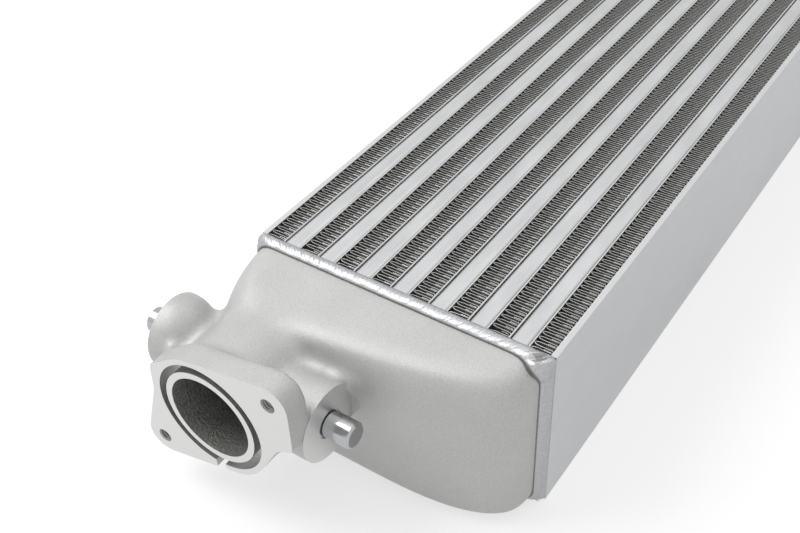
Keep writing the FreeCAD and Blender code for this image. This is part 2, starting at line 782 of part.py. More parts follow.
def make_pin(label, side):
    """A pin with a chamfered tip and a shank. Side is -1 for the near boss, 1 for the far one."""
    name = f"pin_{'near' if side < 0 else 'far'}"

    def head_section(sketch):
        draw_circle(sketch, "Sizes.PinRadius")

    free_length = "Sizes.PinProjection + Sizes.ReliefDepth"
    body, head = padded_body(name, "XZ_Plane", head_section, free_length)
    tip_y = -size("PinProjection") - size("ReliefDepth")
    chamfer = body.newObject("PartDesign::Chamfer", f"{name}_chamfer")
    chamfer.Base = (head, edges_where(head.Shape, lambda point: abs(point.y - tip_y) < 0.01))
    bind(chamfer, Size="Sizes.PinChamfer")
    doc.recompute()
    shank_sketch = body.newObject("Sketcher::SketchObject", f"{name}_shank_section")
    shank_sketch.AttachmentSupport = head.Profile[0].AttachmentSupport
    shank_sketch.MapMode = "FlatFace"
    draw_circle(shank_sketch, "Sizes.ShankRadius")
    shank = body.newObject("PartDesign::Pad", f"{name}_shank")
    shank.Profile = shank_sketch
    shank.Reversed = True
    bind(shank, Length="Sizes.ShankLength")
    body.Tip = shank
    if side > 0:
        body.Placement.Rotation = HALF_TURN
    pin_x, pin_z = pin_axis(side)
    place(
        body,
        pin_x,
        f"Sizes.NeckOffset + {side} * (Sizes.BossSpan / 2 - Sizes.ReliefDepth)",
        pin_z,
    )
    return keep(body, label)


def make_mirrored(source, label):
    """The same piece at the other end of the core."""
    mirrored = doc.addObject("Part::Mirroring", f"{source.Name}_mirrored")
    mirrored.Source = source
    mirrored.Normal = X_AXIS
    mirrored.Base = FreeCAD.Vector(0, 0, 0)
    return keep(mirrored, label)


def build():
    """Make every sub-part."""
    make_charge_bars()
    make_flats()
    make_fins()
    make_turbulators()
    make_end_bars("end_bars_inlet", CORE_END)
    make_end_bars("end_bars_outlet", f"-{CORE_END} - Sizes.EndBarWidth")
    outer_form = lofted(
        "tank_form",
        [tank_section(f"tank_section_{index}", share) for index, share in enumerate(SECTION_SHARES)],
    )
    tank = make_end_tank(outer_form)
    weld = make_weld(outer_form)
    near_pin = make_pin("locating_pin_inlet_near", -1)
    far_pin = make_pin("locating_pin_inlet_far", 1)
    make_mirrored(tank, "end_tank_outlet")
    make_mirrored(weld, "tank_weld_outlet")
    make_mirrored(near_pin, "locating_pin_outlet_near")
    make_mirrored(far_pin, "locating_pin_outlet_far")


def check_document():
    """Stop if any object failed or any sub-part has no valid shape."""
    doc.recompute()
    for item in doc.Objects:
        if {"Invalid", "Error"} & set(item.State):
            raise RuntimeError(f"{item.Label} failed: {item.State}")
    for sub_part in sub_parts:
        if sub_part.Shape.isNull() or not sub_part.Shape.isValid():
            raise RuntimeError(f"{sub_part.Label} has no valid shape")
        if not sub_part.Shape.Solids or sub_part.Shape.Volume <= 0:
            raise RuntimeError(f"{sub_part.Label} is empty")
    if doc.getObject("casting").Shape.Volume < doc.getObject("tank_form").Shape.Volume:
        raise RuntimeError("The tank's shell is missing from its casting")


build()
check_document()
os.makedirs("parts", exist_ok=True)
for sub_part in sub_parts:
    sub_part.Shape.exportStep(f"parts/{sub_part.Label}.step")
print(f"{len(sub_parts)} sub-parts written")
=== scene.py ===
import math
import random
import bpy
from mathutils import Matrix, Vector


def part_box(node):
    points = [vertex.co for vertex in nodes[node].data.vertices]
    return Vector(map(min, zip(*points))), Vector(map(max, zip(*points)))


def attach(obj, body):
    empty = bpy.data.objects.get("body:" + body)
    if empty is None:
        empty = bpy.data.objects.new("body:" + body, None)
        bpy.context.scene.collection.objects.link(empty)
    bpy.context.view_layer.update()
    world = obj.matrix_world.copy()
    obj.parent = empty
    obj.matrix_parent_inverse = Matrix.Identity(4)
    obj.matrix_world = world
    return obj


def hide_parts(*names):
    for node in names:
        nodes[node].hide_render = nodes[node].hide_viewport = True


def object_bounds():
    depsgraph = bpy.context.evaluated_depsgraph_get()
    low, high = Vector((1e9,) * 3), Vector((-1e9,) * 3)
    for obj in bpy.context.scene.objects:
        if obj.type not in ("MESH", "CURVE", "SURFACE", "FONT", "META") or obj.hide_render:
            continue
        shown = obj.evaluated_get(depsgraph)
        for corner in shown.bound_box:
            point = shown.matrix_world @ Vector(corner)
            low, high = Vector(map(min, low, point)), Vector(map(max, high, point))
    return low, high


bl_info = {
    "name": "Bar-and-plate intercooler",
    "version": (1, 0, 0),
    "blender": (4, 5, 0),
    "location": "3D View > Sidebar > Intercooler",
    "description": "Dresses the packed intercooler: louvred fins, cast tanks, weld beads and finishes",
    "category": "Object",
}

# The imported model. Lengths are metres: X runs from the inlet tank to the outlet tank, Z is up
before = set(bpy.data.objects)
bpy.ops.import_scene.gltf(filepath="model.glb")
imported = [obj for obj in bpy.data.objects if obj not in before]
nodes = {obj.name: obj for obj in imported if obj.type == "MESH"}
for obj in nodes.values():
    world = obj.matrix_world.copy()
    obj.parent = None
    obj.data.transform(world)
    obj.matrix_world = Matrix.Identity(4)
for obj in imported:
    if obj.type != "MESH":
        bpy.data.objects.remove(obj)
cad_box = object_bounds()
MM = 0.001
ENDS = ("inlet", "outlet")
FIN_ROWS = 8

# Colours of the real finishes, as sRGB hex
COLOURS = {
    "cast": "C0C0BE",
    # inside: the duct's wall, darker partly for its unblasted skin and partly as painted shade
    "inside": "8A8985",
    "machined": "D6D6D4",
    # tapped: cut threads, darker than cut metal as painted shade in the holes
    "tapped": "8E8E8C",
    "weld": "BBBCBE",
    # toe: the dark line along the bead's edge, and also the painted shade in the weld crater
    "toe": "969593",
    "pin": "B2B3B5",
    "plate": "CBCCCD",
    "sheet": "CFCFCE",
    "bar": "CBCCCD",
    "foil": "C2C2C0",
    "floor": "F4F4F4",
    "floor_shade": "B4B4B5",
}


def linear(hex_colour):
    """An sRGB hex colour as linear red, green, blue and alpha."""
    channels = [int(hex_colour[start:start + 2], 16) / 255 for start in (0, 2, 4)]
    curve = [c / 12.92 if c <= 0.04045 else ((c + 0.055) / 1.055) ** 2.4 for c in channels]
    return (*curve, 1.0)


# Sizes and colours that a user would change


class FinSettings(bpy.types.PropertyGroup):
    wave_pitch: bpy.props.FloatProperty(
        name="Wave pitch",
        description="One full wave of a cooling fin along its row",
        default=3.3 * MM,
        unit="LENGTH",
    )
    foil: bpy.props.FloatProperty(
        name="Foil thickness",
        description="Thickness of the folded foil, about twice the real one so that it shows",
        default=0.27 * MM,
        unit="LENGTH",
    )
    lip: bpy.props.FloatProperty(
        name="Plain edge",
        description="Foil above the first louvre",
        default=0.9 * MM,
        unit="LENGTH",
    )
    louvre_pitch: bpy.props.FloatProperty(
        name="Louvre pitch",
        description="From one louvre to the next, through the core's depth",
        default=1.15 * MM,
        unit="LENGTH",
    )
    louvres: bpy.props.IntProperty(
        name="Louvres",
        description="Louvres at each face of the core; deeper ones are out of sight",
        default=2,
    )
    unevenness: bpy.props.FloatProperty(
        name="Unevenness",
        description="How far a fold strays along its row",
        default=0.14 * MM,
        unit="LENGTH",
    )


class WeldSettings(bpy.types.PropertyGroup):
    crown: bpy.props.FloatProperty(
        name="Crown",
        description="Height of the bead above the surfaces that it joins",
        default=1.25 * MM,
        unit="LENGTH",
    )
    ripple_pitch: bpy.props.FloatProperty(
        name="Ripple pitch",
        description="From one weld ripple to the next",
        default=1.9 * MM,
        unit="LENGTH",
    )
    ripple_depth: bpy.props.FloatProperty(
        name="Ripple depth",
        description="Depth of a weld ripple",
        default=0.4 * MM,
        unit="LENGTH",
    )


class TankSettings(bpy.types.PropertyGroup):
    grain: bpy.props.FloatProperty(
        name="Grain",
        description="Size of the mesh that the casting is rounded on",
        default=1.05 * MM,
        unit="LENGTH",
    )
    cast_radius: bpy.props.FloatProperty(
        name="Cast fillet",
        description="Radius of the hollow fillets where the tank, neck, flange and bosses meet",
        default=3.0 * MM,
        unit="LENGTH",
    )
    brow_softness: bpy.props.IntProperty(
        name="Brow softness",
        description="How soft the tank's brow is, where its roof turns down to the neck",
        default=260,
    )
    thread_pitch: bpy.props.FloatProperty(
        name="Thread pitch",
        description="From one thread to the next in the two tapped flange holes",
        default=1.25 * MM,
        unit="LENGTH",
    )
    thread_depth: bpy.props.FloatProperty(
        name="Thread depth",
        description="Depth of a thread beyond its tapping hole",
        default=0.6 * MM,
        unit="LENGTH",
    )


class FinishSettings(bpy.types.PropertyGroup):
    cast_colour: bpy.props.FloatVectorProperty(
        name="Cast aluminium",
        description="Colour of the bead-blasted castings",
        default=linear(COLOURS["cast"]),
        size=4,
        subtype="COLOR",
    )
    bar_colour: bpy.props.FloatVectorProperty(
        name="Bars",
        description="Colour of the rolled bars",
        default=linear(COLOURS["bar"]),
        size=4,
        subtype="COLOR",
    )
    foil_colour: bpy.props.FloatVectorProperty(
        name="Fins",
        description="Colour of the folded foil",
        default=linear(COLOURS["foil"]),
        size=4,
        subtype="COLOR",
    )


# Helpers for meshes


def deselect():
    """Leave nothing selected, in object mode."""
    if bpy.context.object and bpy.context.object.mode != "OBJECT":
        bpy.ops.object.mode_set(mode="OBJECT")
    bpy.ops.object.select_all(action="DESELECT")


def choose(*pieces):
    """Select these pieces, the first one active."""
    deselect()
    for piece in pieces:
        piece.select_set(True)
    bpy.context.view_layer.objects.active = pieces[0]


def settle(piece):
    """Put a piece's place into its mesh, its object at the origin."""
    choose(piece)
    bpy.ops.object.transform_apply(location=True, rotation=True, scale=True)


def copy_of(piece):
    """A copy of a piece with a mesh of its own."""
    choose(piece)
    bpy.ops.object.duplicate(linked=False)
    return bpy.context.object


def clean(piece, gap=0.0, outwards=True):
    """Merge the vertices that are closer than the gap, and turn the faces outwards."""
    choose(piece)
    bpy.ops.object.mode_set(mode="EDIT")
    bpy.ops.mesh.select_all(action="SELECT")
    if gap:
        bpy.ops.mesh.remove_doubles(threshold=gap)
    if outwards:
        bpy.ops.mesh.normals_make_consistent(inside=False)
    bpy.ops.object.mode_set(mode="OBJECT")


def apply_modifier(piece, kind, **settings):
    """Add a modifier, set it and apply it."""
    choose(piece)
    modifier = piece.modifiers.new(kind.title(), kind)
    for name, value in settings.items():
        setattr(modifier, name, value)
    bpy.ops.object.modifier_apply(modifier=modifier.name)


def ramp(value, nothing, full):
    """0 at one value, 1 at the other and beyond it, and even between them."""
    return min(1.0, max(0.0, (value - nothing) / (full - nothing)))


def finished(piece, name, slot, *replaced):
    """Name a piece, put it on the body and hide the CAD nodes that it replaces."""
    settle(piece)
    piece.name = name
    piece.data.name = name
    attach(piece, "root")
    if replaced:
        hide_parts(*replaced)
    return piece


# Materials


def add_node(tree, kind, settings=None, links=None):
    """Add a node with its settings, and link other nodes' outputs to its inputs."""
    node = tree.nodes.new(kind)
    for name, value in (settings or {}).items():
        if isinstance(name, int) or name in node.inputs:
            node.inputs[name].default_value = value
        else:
            setattr(node, name, value)
    for name, (source, output) in (links or {}).items():
        tree.links.new(source.outputs[output], node.inputs[name])
    return node


def new_material(name):
    """An empty material and its node tree."""
    material = bpy.data.materials.new(name)
    material.use_nodes = True
    material.node_tree.nodes.clear()
    return material, material.node_tree


def surface(tree, settings, links, bumps=None):
    """A shader linked to the surface. Bumps are a pattern, their strength and their depth in millimetres."""
    if bumps:
        source, strength, depth_mm = bumps
        depth = {"Strength": strength, "Distance": depth_mm * MM}
        links["Normal"] = (add_node(tree, "ShaderNodeBump", depth, {"Height": (source, "Fac")}), 0)
    shader = add_node(tree, "ShaderNodeBsdfPrincipled", settings, links)
    add_node(tree, "ShaderNodeOutputMaterial", links={"Surface": (shader, 0)})


def grain(tree, size_mm, detail, roughness=0.5, stretch=(1.0, 1.0, 1.0)):
    """A pattern of a real size, fixed to the piece, and longer along an axis whose stretch is under 1."""
    place = add_node(tree, "ShaderNodeTexCoord")
    turned = add_node(tree, "ShaderNodeMapping", {"Scale": stretch}, {"Vector": (place, "Object")})
    settings = {"Scale": 1 / (size_mm * MM), "Detail": detail, "Roughness": roughness}
    return add_node(tree, "ShaderNodeTexNoise", settings, {"Vector": (turned, "Vector")})


def product(tree, *patterns):
    """Patterns multiplied together: each has its source, its lowest and its highest value."""
    result = None
    for source, low, high in patterns:
        # Noise keeps mostly between 0.3 and 0.7
        settings = {"From Min": 0.3, "From Max": 0.7, "To Min": low, "To Max": high}
        level = add_node(tree, "ShaderNodeMapRange", settings, {"Value": (source, "Fac")})
        if result:
            both = {0: (result, 0), 1: (level, 0)}
            level = add_node(tree, "ShaderNodeMath", {"operation": "MULTIPLY"}, both)
        result = level
    return result


def tinted(tree, colour, *patterns):
    """A colour made lighter and darker by patterns."""
    shade = product(tree, *patterns)
    mix = add_node(tree, "ShaderNodeMix", {"data_type": "RGBA", "blend_type": "MULTIPLY", "Factor": 1.0})
    colours = [socket for socket in mix.inputs if socket.type == "RGBA"]
    colours[0].default_value = colour
    tree.links.new(shade.outputs[0], colours[1])
    result = [socket for socket in mix.outputs if socket.type == "RGBA"][0]
    return mix, mix.outputs[:].index(result)


def seen_directly(tree):
    """1 for rays from the camera, from gloss and through glass, 0 for soft light."""
    path = add_node(tree, "ShaderNodeLightPath")
    larger = {"operation": "MAXIMUM"}
    two = {0: (path, "Is Camera Ray"), 1: (path, "Is Glossy Ray")}
    either = add_node(tree, "ShaderNodeMath", larger, two)
    three = {0: (either, 0), 1: (path, "Is Transmission Ray")}
    return add_node(tree, "ShaderNodeMath", larger, three)


def cast_aluminium(name, colour, metallic, grit_mm, grit_depth, speckle):
    """Sand-cast aluminium, bead-blasted or as cast: matt, a fine sparkle and faint clouds."""
    material, tree = new_material(name)
    grit = grain(tree, grit_mm, 3.0, 0.7)
    # Cloudy patches about 25 mm across, from the casting and its handling
    clouds = grain(tree, 25, 3.0)
    tone = tinted(tree, colour, (clouds, 0.94, 1.02), (grit, 1 - speckle, 1 + speckle))
    roughness = product(tree, (clouds, 0.5, 0.6))
    links = {"Base Color": tone, "Roughness": (roughness, 0)}
    surface(tree, {"Metallic": metallic}, links, (grit, 1.0, grit_depth))
    return material


def machined_aluminium(colour):
    """The faces cut after casting: brighter than the casting, with fine even tool marks."""
    material, tree = new_material("machined_aluminium")
    # Tool marks are about 0.3 mm apart, and drawn at 0.6 mm so that they show
    marks = grain(tree, 0.6, 1.0)
    roughness = product(tree, (marks, 0.33, 0.42))
    settings = {"Base Color": colour, "Metallic": 1.0}
    surface(tree, settings, {"Roughness": (roughness, 0)}, (marks, 0.1, 0.03))
    return material


def rolled_aluminium(name, colour, roughest, streak_mm, tone_low, relief_mm, metallic=1.0):
    """Rolled bar or sheet after brazing: satin, with long streaks along the rolling direction."""
    material, tree = new_material(name)
    # Streaks are long in X and narrow across it
    streaks = grain(tree, streak_mm, 3.0, 0.55, (0.03, 1.0, 1.0))
    # Patches of brazing flux, about 9 mm wide and 22 mm long
    patches = grain(tree, 9, 2.0, stretch=(0.4, 1.0, 1.0))
    tone = tinted(tree, colour, (patches, tone_low, 1.0))
    roughness = product(tree, (streaks, roughest - 0.14, roughest))
    links = {"Base Color": tone, "Roughness": (roughness, 0)}
    surface(tree, {"Metallic": metallic}, links, (streaks, 0.2, relief_mm))
    return material


def bright_metal(name, colour, smoothest, roughest, mark_mm, darkest=0.92):
    """Weld metal or ground steel: bright, with small changes of gloss."""
    material, tree = new_material(name)
    marks = grain(tree, mark_mm, 2.0)
    tone = tinted(tree, colour, (marks, darkest, 1.0))
    roughness = product(tree, (marks, smoothest, roughest))
    surface(tree, {"Metallic": 1.0}, {"Base Color": tone, "Roughness": (roughness, 0)})
    return material


def folded_foil(colour):
    """Brazed foil: its cut edges at the two open faces are bright, its flanks darker below them, partly
    dulled by flux and partly painted shade of the deep folds.
    """
    material, tree = new_material("folded_foil")
    # The painted shade and the flux dulling start just under the open face and are full at the first louvre
    unshaded_depth = 0.05 * MM
    shade_depth = 0.9 * MM
    deep_shade = 0.68
    low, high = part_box("cooling_fin_1")
    half_depth = (high.z - low.z) / 2
    place = add_node(tree, "ShaderNodeTexCoord")
    axes = add_node(tree, "ShaderNodeSeparateXYZ", links={"Vector": (place, "Object")})
    from_middle = add_node(
        tree,
        "ShaderNodeMath",
        {"operation": "SUBTRACT", 1: (low.z + high.z) / 2},
        {0: (axes, "Z")},
    )
    either_way = add_node(tree, "ShaderNodeMath", {"operation": "ABSOLUTE"}, {0: (from_middle, 0)})
    flux_and_shade = {
        "From Min": half_depth - shade_depth,
        "From Max": half_depth - unshaded_depth,
        "To Min": deep_shade,
    }
    edge = add_node(tree, "ShaderNodeMapRange", flux_and_shade, {"Value": (either_way, 0)})
    # Painted shade, with some flux dulling: the colour darkens with depth below each open face
    tone = add_node(
        tree,
        "ShaderNodeVectorMath",
        {"operation": "SCALE", 0: colour[:3]},
        {"Scale": (edge, 0)},
    )
    surface(tree, {"Metallic": 0.9, "Roughness": 0.42}, {"Base Color": (tone, 0)})
    return material


MATERIALS = {}


def finish(name):
    """A finish, made when it is first asked for."""
    settings = bpy.context.scene.intercooler_finish
    colour = linear(COLOURS[name])
    makers = {
        # Bead marks are about 0.1 mm across, and drawn at 0.8 mm so that they show
        "cast": lambda: cast_aluminium(
            "blasted_cast_aluminium",
            tuple(settings.cast_colour),
            metallic=0.45,
            grit_mm=0.8,
            grit_depth=0.14,
            speckle=0.1,
        ),
        # The duct's wall keeps the grain of the sand, about 1.2 mm; its darker colour is partly that
        # unblasted skin and partly painted shade inside the duct
        "inside": lambda: cast_aluminium(
            "sand_cast_and_shaded_aluminium", colour, metallic=0.6, grit_mm=1.2, grit_depth=0.6, speckle=0.35
        ),
        "machined": lambda: machined_aluminium(colour),
        # Painted shade: the tapped holes are darker than their cut metal is
        "tapped": lambda: bright_metal(
            "shaded_tapped_hole", colour, smoothest=0.3, roughest=0.4, mark_mm=0.8
        ),
        "weld": lambda: bright_metal(
            "weld_metal", colour, smoothest=0.36, roughest=0.52, mark_mm=1.1, darkest=0.78
        ),
        # The dark line along the bead's edge on the casting; the same finish is painted shade, with some
        # oxide, in the weld crater
        "toe": lambda: bright_metal("weld_toe_and_crater_shade", colour, smoothest=0.5, roughest=0.6, mark_mm=1.0),
        "pin": lambda: bright_metal("ground_steel", colour, smoothest=0.14, roughest=0.22, mark_mm=0.8),
        # Flux and oxide take some of the metal's shine from the plates
        "plate": lambda: rolled_aluminium(
            "rolled_plate",
            colour,
            roughest=0.66,
            streak_mm=0.5,
            tone_low=0.98,
            relief_mm=0.02,
            metallic=0.8,
        ),
        "sheet": lambda: rolled_aluminium(
            "brazed_sheet", colour, roughest=0.45, streak_mm=0.4, tone_low=0.95, relief_mm=0.05
        ),
        "bar": lambda: rolled_aluminium(
            "rolled_bar",
            tuple(settings.bar_colour),
            roughest=0.5,
            streak_mm=0.9,
            tone_low=0.88,
            relief_mm=0.08,
        ),
        "foil": lambda: folded_foil(tuple(settings.foil_colour)),
    }
    if name not in MATERIALS:
        MATERIALS[name] = makers[name]()
    return MATERIALS[name]


def paint(piece, *names):
    """Give a piece its finishes."""
    piece.data.materials.clear()
    for name in names:
        piece.data.materials.append(finish(name))


# Stage


class INTERCOOLER_OT_stage(bpy.types.Operator):
    """Make the floor, the lamps, the surroundings and the camera"""

    bl_idname = "intercooler.stage"
    bl_label = "Stage"

    # Metres
    FLOOR_SIZE = 14
    # The floor lies just under the part, so that the two don't share a plane
    FLOOR_DROP = 0.2 * MM
    # The floor glows more from the first of these distances to the second, out to its horizon
    GLOW_REACH = (0.5, 1.6)
    GLOW = (0.61, 0.85)

    def execute(self, context):
        self.make_floor()
        self.make_surroundings(context)
        # Lamps: name, place, what they point at, width, height, power in watts
        lamps = (
            ("lamp_key", (-0.68, 1.18, 1.7), (-0.12, 0.0, 0.0), 1.3, 1.1, 22),
            ("lamp_top", (0.3, -0.1, 2.0), (0.0, 0.0, 0.0), 2.4, 2.0, 7),
        )
        for name, place, aim, width, height, power in lamps:
            self.make_lamp(name, Vector(place), Vector(aim), width, height, power)
        self.make_camera(context)
        context.scene.view_settings.view_transform = "Standard"
        return {"FINISHED"}

    def make_floor(self):
        deselect()
        floor_z = cad_box[0][2] - self.FLOOR_DROP
        bpy.ops.mesh.primitive_plane_add(size=self.FLOOR_SIZE, location=(0, 0, floor_z))
        floor = bpy.context.object
        settle(floor)
        floor.name = "floor"
        material, tree = new_material("pale_floor")
        paper = add_node(
            tree,
            "ShaderNodeBsdfPrincipled",
            {"Base Color": linear(COLOURS["floor"]), "Roughness": 0.7},
        )
        # Where it is looked at, the floor is white and keeps a paler shadow
        place = add_node(tree, "ShaderNodeTexCoord")
        from_middle = {"operation": "LENGTH"}
        distance = add_node(tree, "ShaderNodeVectorMath", from_middle, {0: (place, "Object")})
        near, far = self.GLOW_REACH
        dim, bright = self.GLOW
        levels = {"From Min": near, "From Max": far, "To Min": dim, "To Max": bright}
        glow = add_node(tree, "ShaderNodeMapRange", levels, {"Value": (distance, "Value")})
        shaded = add_node(
            tree,
            "ShaderNodeBsdfPrincipled",
            {
                "Base Color": linear(COLOURS["floor_shade"]),
                "Roughness": 1.0,
                "Specular IOR Level": 0.0,
                "Emission Color": (1.0, 1.0, 1.0, 1.0),
            },
            {"Emission Strength": (glow, 0)},
        )
        mixed = {0: (seen_directly(tree), 0), 1: (paper, 0), 2: (shaded, 0)}
        shader = add_node(tree, "ShaderNodeMixShader", links=mixed)
        add_node(tree, "ShaderNodeOutputMaterial", links={"Surface": (shader, 0)})
        floor.data.materials.append(material)

    def make_surroundings(self, context):
        world = bpy.data.worlds.new("studio")
        context.scene.world = world
        world.use_nodes = True
        tree = world.node_tree
        tree.nodes.clear()
        place = add_node(tree, "ShaderNodeTexCoord")
        height = add_node(tree, "ShaderNodeSeparateXYZ", links={"Vector": (place, "Generated")})
        # Paler overhead than at the sides, and white where it is looked at
        levels = {"From Min": 0.0, "From Max": 1.0, "To Min": 0.34, "To Max": 0.62}
        level = add_node(tree, "ShaderNodeMapRange", levels, {"Value": (height, "Z")})
        either = {"Factor": (seen_directly(tree), 0), "A": (level, 0)}
        strength = add_node(tree, "ShaderNodeMix", {"B": 1.0}, either)
        white = {"Color": (1.0, 1.0, 1.0, 1.0)}
        background = add_node(tree, "ShaderNodeBackground", white, {"Strength": (strength, 0)})
        add_node(tree, "ShaderNodeOutputWorld", links={"Surface": (background, 0)})

    def make_lamp(self, name, place, aim, width, height, power):
        deselect()
        bpy.ops.object.light_add(type="AREA", location=place)
        lamp = bpy.context.object
        lamp.name = name
        lamp.rotation_euler = (aim - place).to_track_quat("-Z", "Y").to_euler()
        lamp.data.shape = "RECTANGLE"
        lamp.data.size = width
        lamp.data.size_y = height
        lamp.data.energy = power

    def make_camera(self, context):
        deselect()
        bpy.ops.object.camera_add()
        camera = bpy.context.object
        camera.name = "camera"
        # Right, up and back of the camera, and its place, worked out from the core's straight edges
        right = Vector((0.56359, -0.82524, -0.03683))
        up = Vector((0.55362, 0.34425, 0.75827))
        back = Vector((-0.61308, -0.44775, 0.65088))
        place = Vector((-0.5355, -0.2023, 0.3953))
        turn = Matrix((right, up, back)).transposed()
        camera.matrix_world = Matrix.Translation(place) @ turn.to_4x4()
        camera.data.sensor_width = 36
        camera.data.lens = 48.87
        camera.data.clip_start = 0.01
        context.scene.camera = camera


# Cooling fins: folded foil with louvres cut in the flanks of each wave


class INTERCOOLER_OT_fins(bpy.types.Operator):
    """Fold the louvred cooling fins, one for each row"""

    bl_idname = "intercooler.fins"
    bl_label = "Cooling fins"

    WIDE_STEPS = 6
    NARROW_STEPS = 3
    # Millimetres: how far the wide fold bulges, and the plain foil beside each fold
    WIDE_FOLD = 2.6
    PLAIN_WIDE = 2.0
    PLAIN_NARROW = 0.4
    # A louvre: degrees that it is turned out of the flank, width in pitches, and share of the foil
    LOUVRE_TURN = 27
    LOUVRE_WIDTH = 1.05
    LOUVRE_THICKNESS = 0.7
    # Millimetres: what the weld's heat reaches from each end, how deep, and the foil's held edge
    CRUSH_REACH = 5.0
    CRUSH_DEPTH = 2.0
    HELD_EDGE = 0.6
    # How much more the last folds stray, and how far they sink for each millimetre of it
    CRUSH_STRAY = 2.0
    CRUSH_SINK = 3.0
    SEED = 40
    # Folds sharper than this many degrees are drawn as edges
    SHARP = 50
    # Millimetres at which the ends of two waves are one
    SEAM = 0.01

    def execute(self, context):
        self.settings = context.scene.intercooler_fins
        low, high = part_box("cooling_fin_1")
        self.length = high.x - low.x
        self.row_height = high.y - low.y
        self.depth = high.z - low.z
        self.waves = int(self.length / self.settings.wave_pitch)
        self.pitch = self.length / self.waves
        folded = self.fold_row()
        for row in range(1, FIN_ROWS + 1):
            fin = copy_of(folded)
            self.stray(fin, row)
            fin.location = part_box(f"cooling_fin_{row}")[0]
            finished(fin, f"louvred_fin_{row}", "fin_aluminium", f"cooling_fin_{row}")
            paint(fin, "foil")
        bpy.data.objects.remove(folded)
        return {"FINISHED"}

    def fold_line(self):
        """Points of one wave across the row, and the steps that are louvred flanks."""
        half_foil = self.settings.foil / 2
        fold = self.pitch / 4
        wide = self.WIDE_FOLD * MM
        low = half_foil + fold
        high = self.row_height - half_foil - wide
        louvre_low = low + self.PLAIN_NARROW * MM
        louvre_high = high - self.PLAIN_WIDE * MM
        points = [(0.0, low), (0.0, louvre_low), (0.0, louvre_high), (0.0, high)]
        points += self.arc(0.0, high, wide, self.WIDE_STEPS)
        flank_x = self.pitch / 2
        points += [(flank_x, louvre_high), (flank_x, louvre_low), (flank_x, low)]
        points += self.arc(flank_x, low, -fold, self.NARROW_STEPS)
        # The louvred step of the first flank, and its twin beyond the wide fold
        louvred = (1, 3 + self.WIDE_STEPS + 1)
        return points, louvred, (louvre_low, louvre_high)

    def arc(self, start_x, level, reach, steps):
        """Points round a fold, from one flank to the next."""
        half = self.pitch / 4
        points = []
        for step in range(1, steps + 1):
            angle = math.pi * step / steps
            x = start_x + half * (1 - math.cos(angle))
            points.append((x, level + reach * math.sin(angle)))
        return points

    def fold_row(self):
        """One row of foil from the row's own corner, with its louvres."""
        points, louvred, (louvre_low, louvre_high) = self.fold_line()
        window = self.settings.lip + self.settings.louvres * self.settings.louvre_pitch
        levels = [0.0, self.settings.lip, window]
        levels += [self.depth - level for level in reversed(levels)]
        deselect()
        bpy.ops.mesh.primitive_grid_add(
            x_subdivisions=len(points) - 1,
            y_subdivisions=len(levels) - 1,
            size=1,
        )
        wave = bpy.context.object
        # A grid's vertices and faces are numbered row by row
        for vertex in wave.data.vertices:
            row, column = divmod(vertex.index, len(points))
            vertex.co = (*points[column], levels[row])
        # The louvres' windows are cut out of the flanks
        choose(wave)
        bpy.ops.object.mode_set(mode="EDIT")
        bpy.ops.mesh.select_mode(type="FACE")
        bpy.ops.mesh.select_all(action="DESELECT")
        bpy.ops.object.mode_set(mode="OBJECT")
        for face in wave.data.polygons:
            row, column = divmod(face.index, len(points) - 1)
            face.select = column in louvred and row in (1, 3)
        bpy.ops.object.mode_set(mode="EDIT")
        bpy.ops.mesh.delete(type="FACE")
        bpy.ops.object.mode_set(mode="OBJECT")
        self.repeat(wave, merge=True)
        apply_modifier(wave, "SOLIDIFY", thickness=self.settings.foil, offset=0.0)
        slats = self.make_slats(louvre_low, louvre_high)
        self.repeat(slats, merge=False)
        choose(wave, slats)
        bpy.ops.object.join()
        bpy.ops.object.shade_smooth_by_angle(angle=math.radians(self.SHARP))
        return wave

    def repeat(self, piece, merge):
        """Repeat one wave along the row."""
        apply_modifier(
            piece,
            "ARRAY",
            count=self.waves,
            use_relative_offset=False,
            use_constant_offset=True,
            constant_offset_displace=(self.pitch, 0.0, 0.0),
            use_merge_vertices=merge,
            merge_threshold=self.SEAM * MM,
        )

    def make_slats(self, louvre_low, louvre_high):
        """The louvres of one wave: slats turned out of the plane of its two flanks."""
        middle = (louvre_low + louvre_high) / 2
        chord = self.settings.louvre_pitch * self.LOUVRE_WIDTH
        thickness = self.settings.foil * self.LOUVRE_THICKNESS
        slats = []
        for flank, turn in ((0.0, self.LOUVRE_TURN), (self.pitch / 2, -self.LOUVRE_TURN)):
            for number in range(self.settings.louvres):
                drop = self.settings.lip + (number + 0.5) * self.settings.louvre_pitch
                for height, sign in ((drop, 1), (self.depth - drop, -1)):
                    deselect()
                    bpy.ops.mesh.primitive_cube_add(
                        size=1,
                        location=(flank, middle, height),
                        rotation=(0.0, math.radians(turn * sign), 0.0),
                        scale=(thickness, louvre_high - louvre_low, chord),
                    )
                    slats.append(bpy.context.object)
        choose(*slats)
        bpy.ops.object.join()
        settle(slats[0])
        return slats[0]

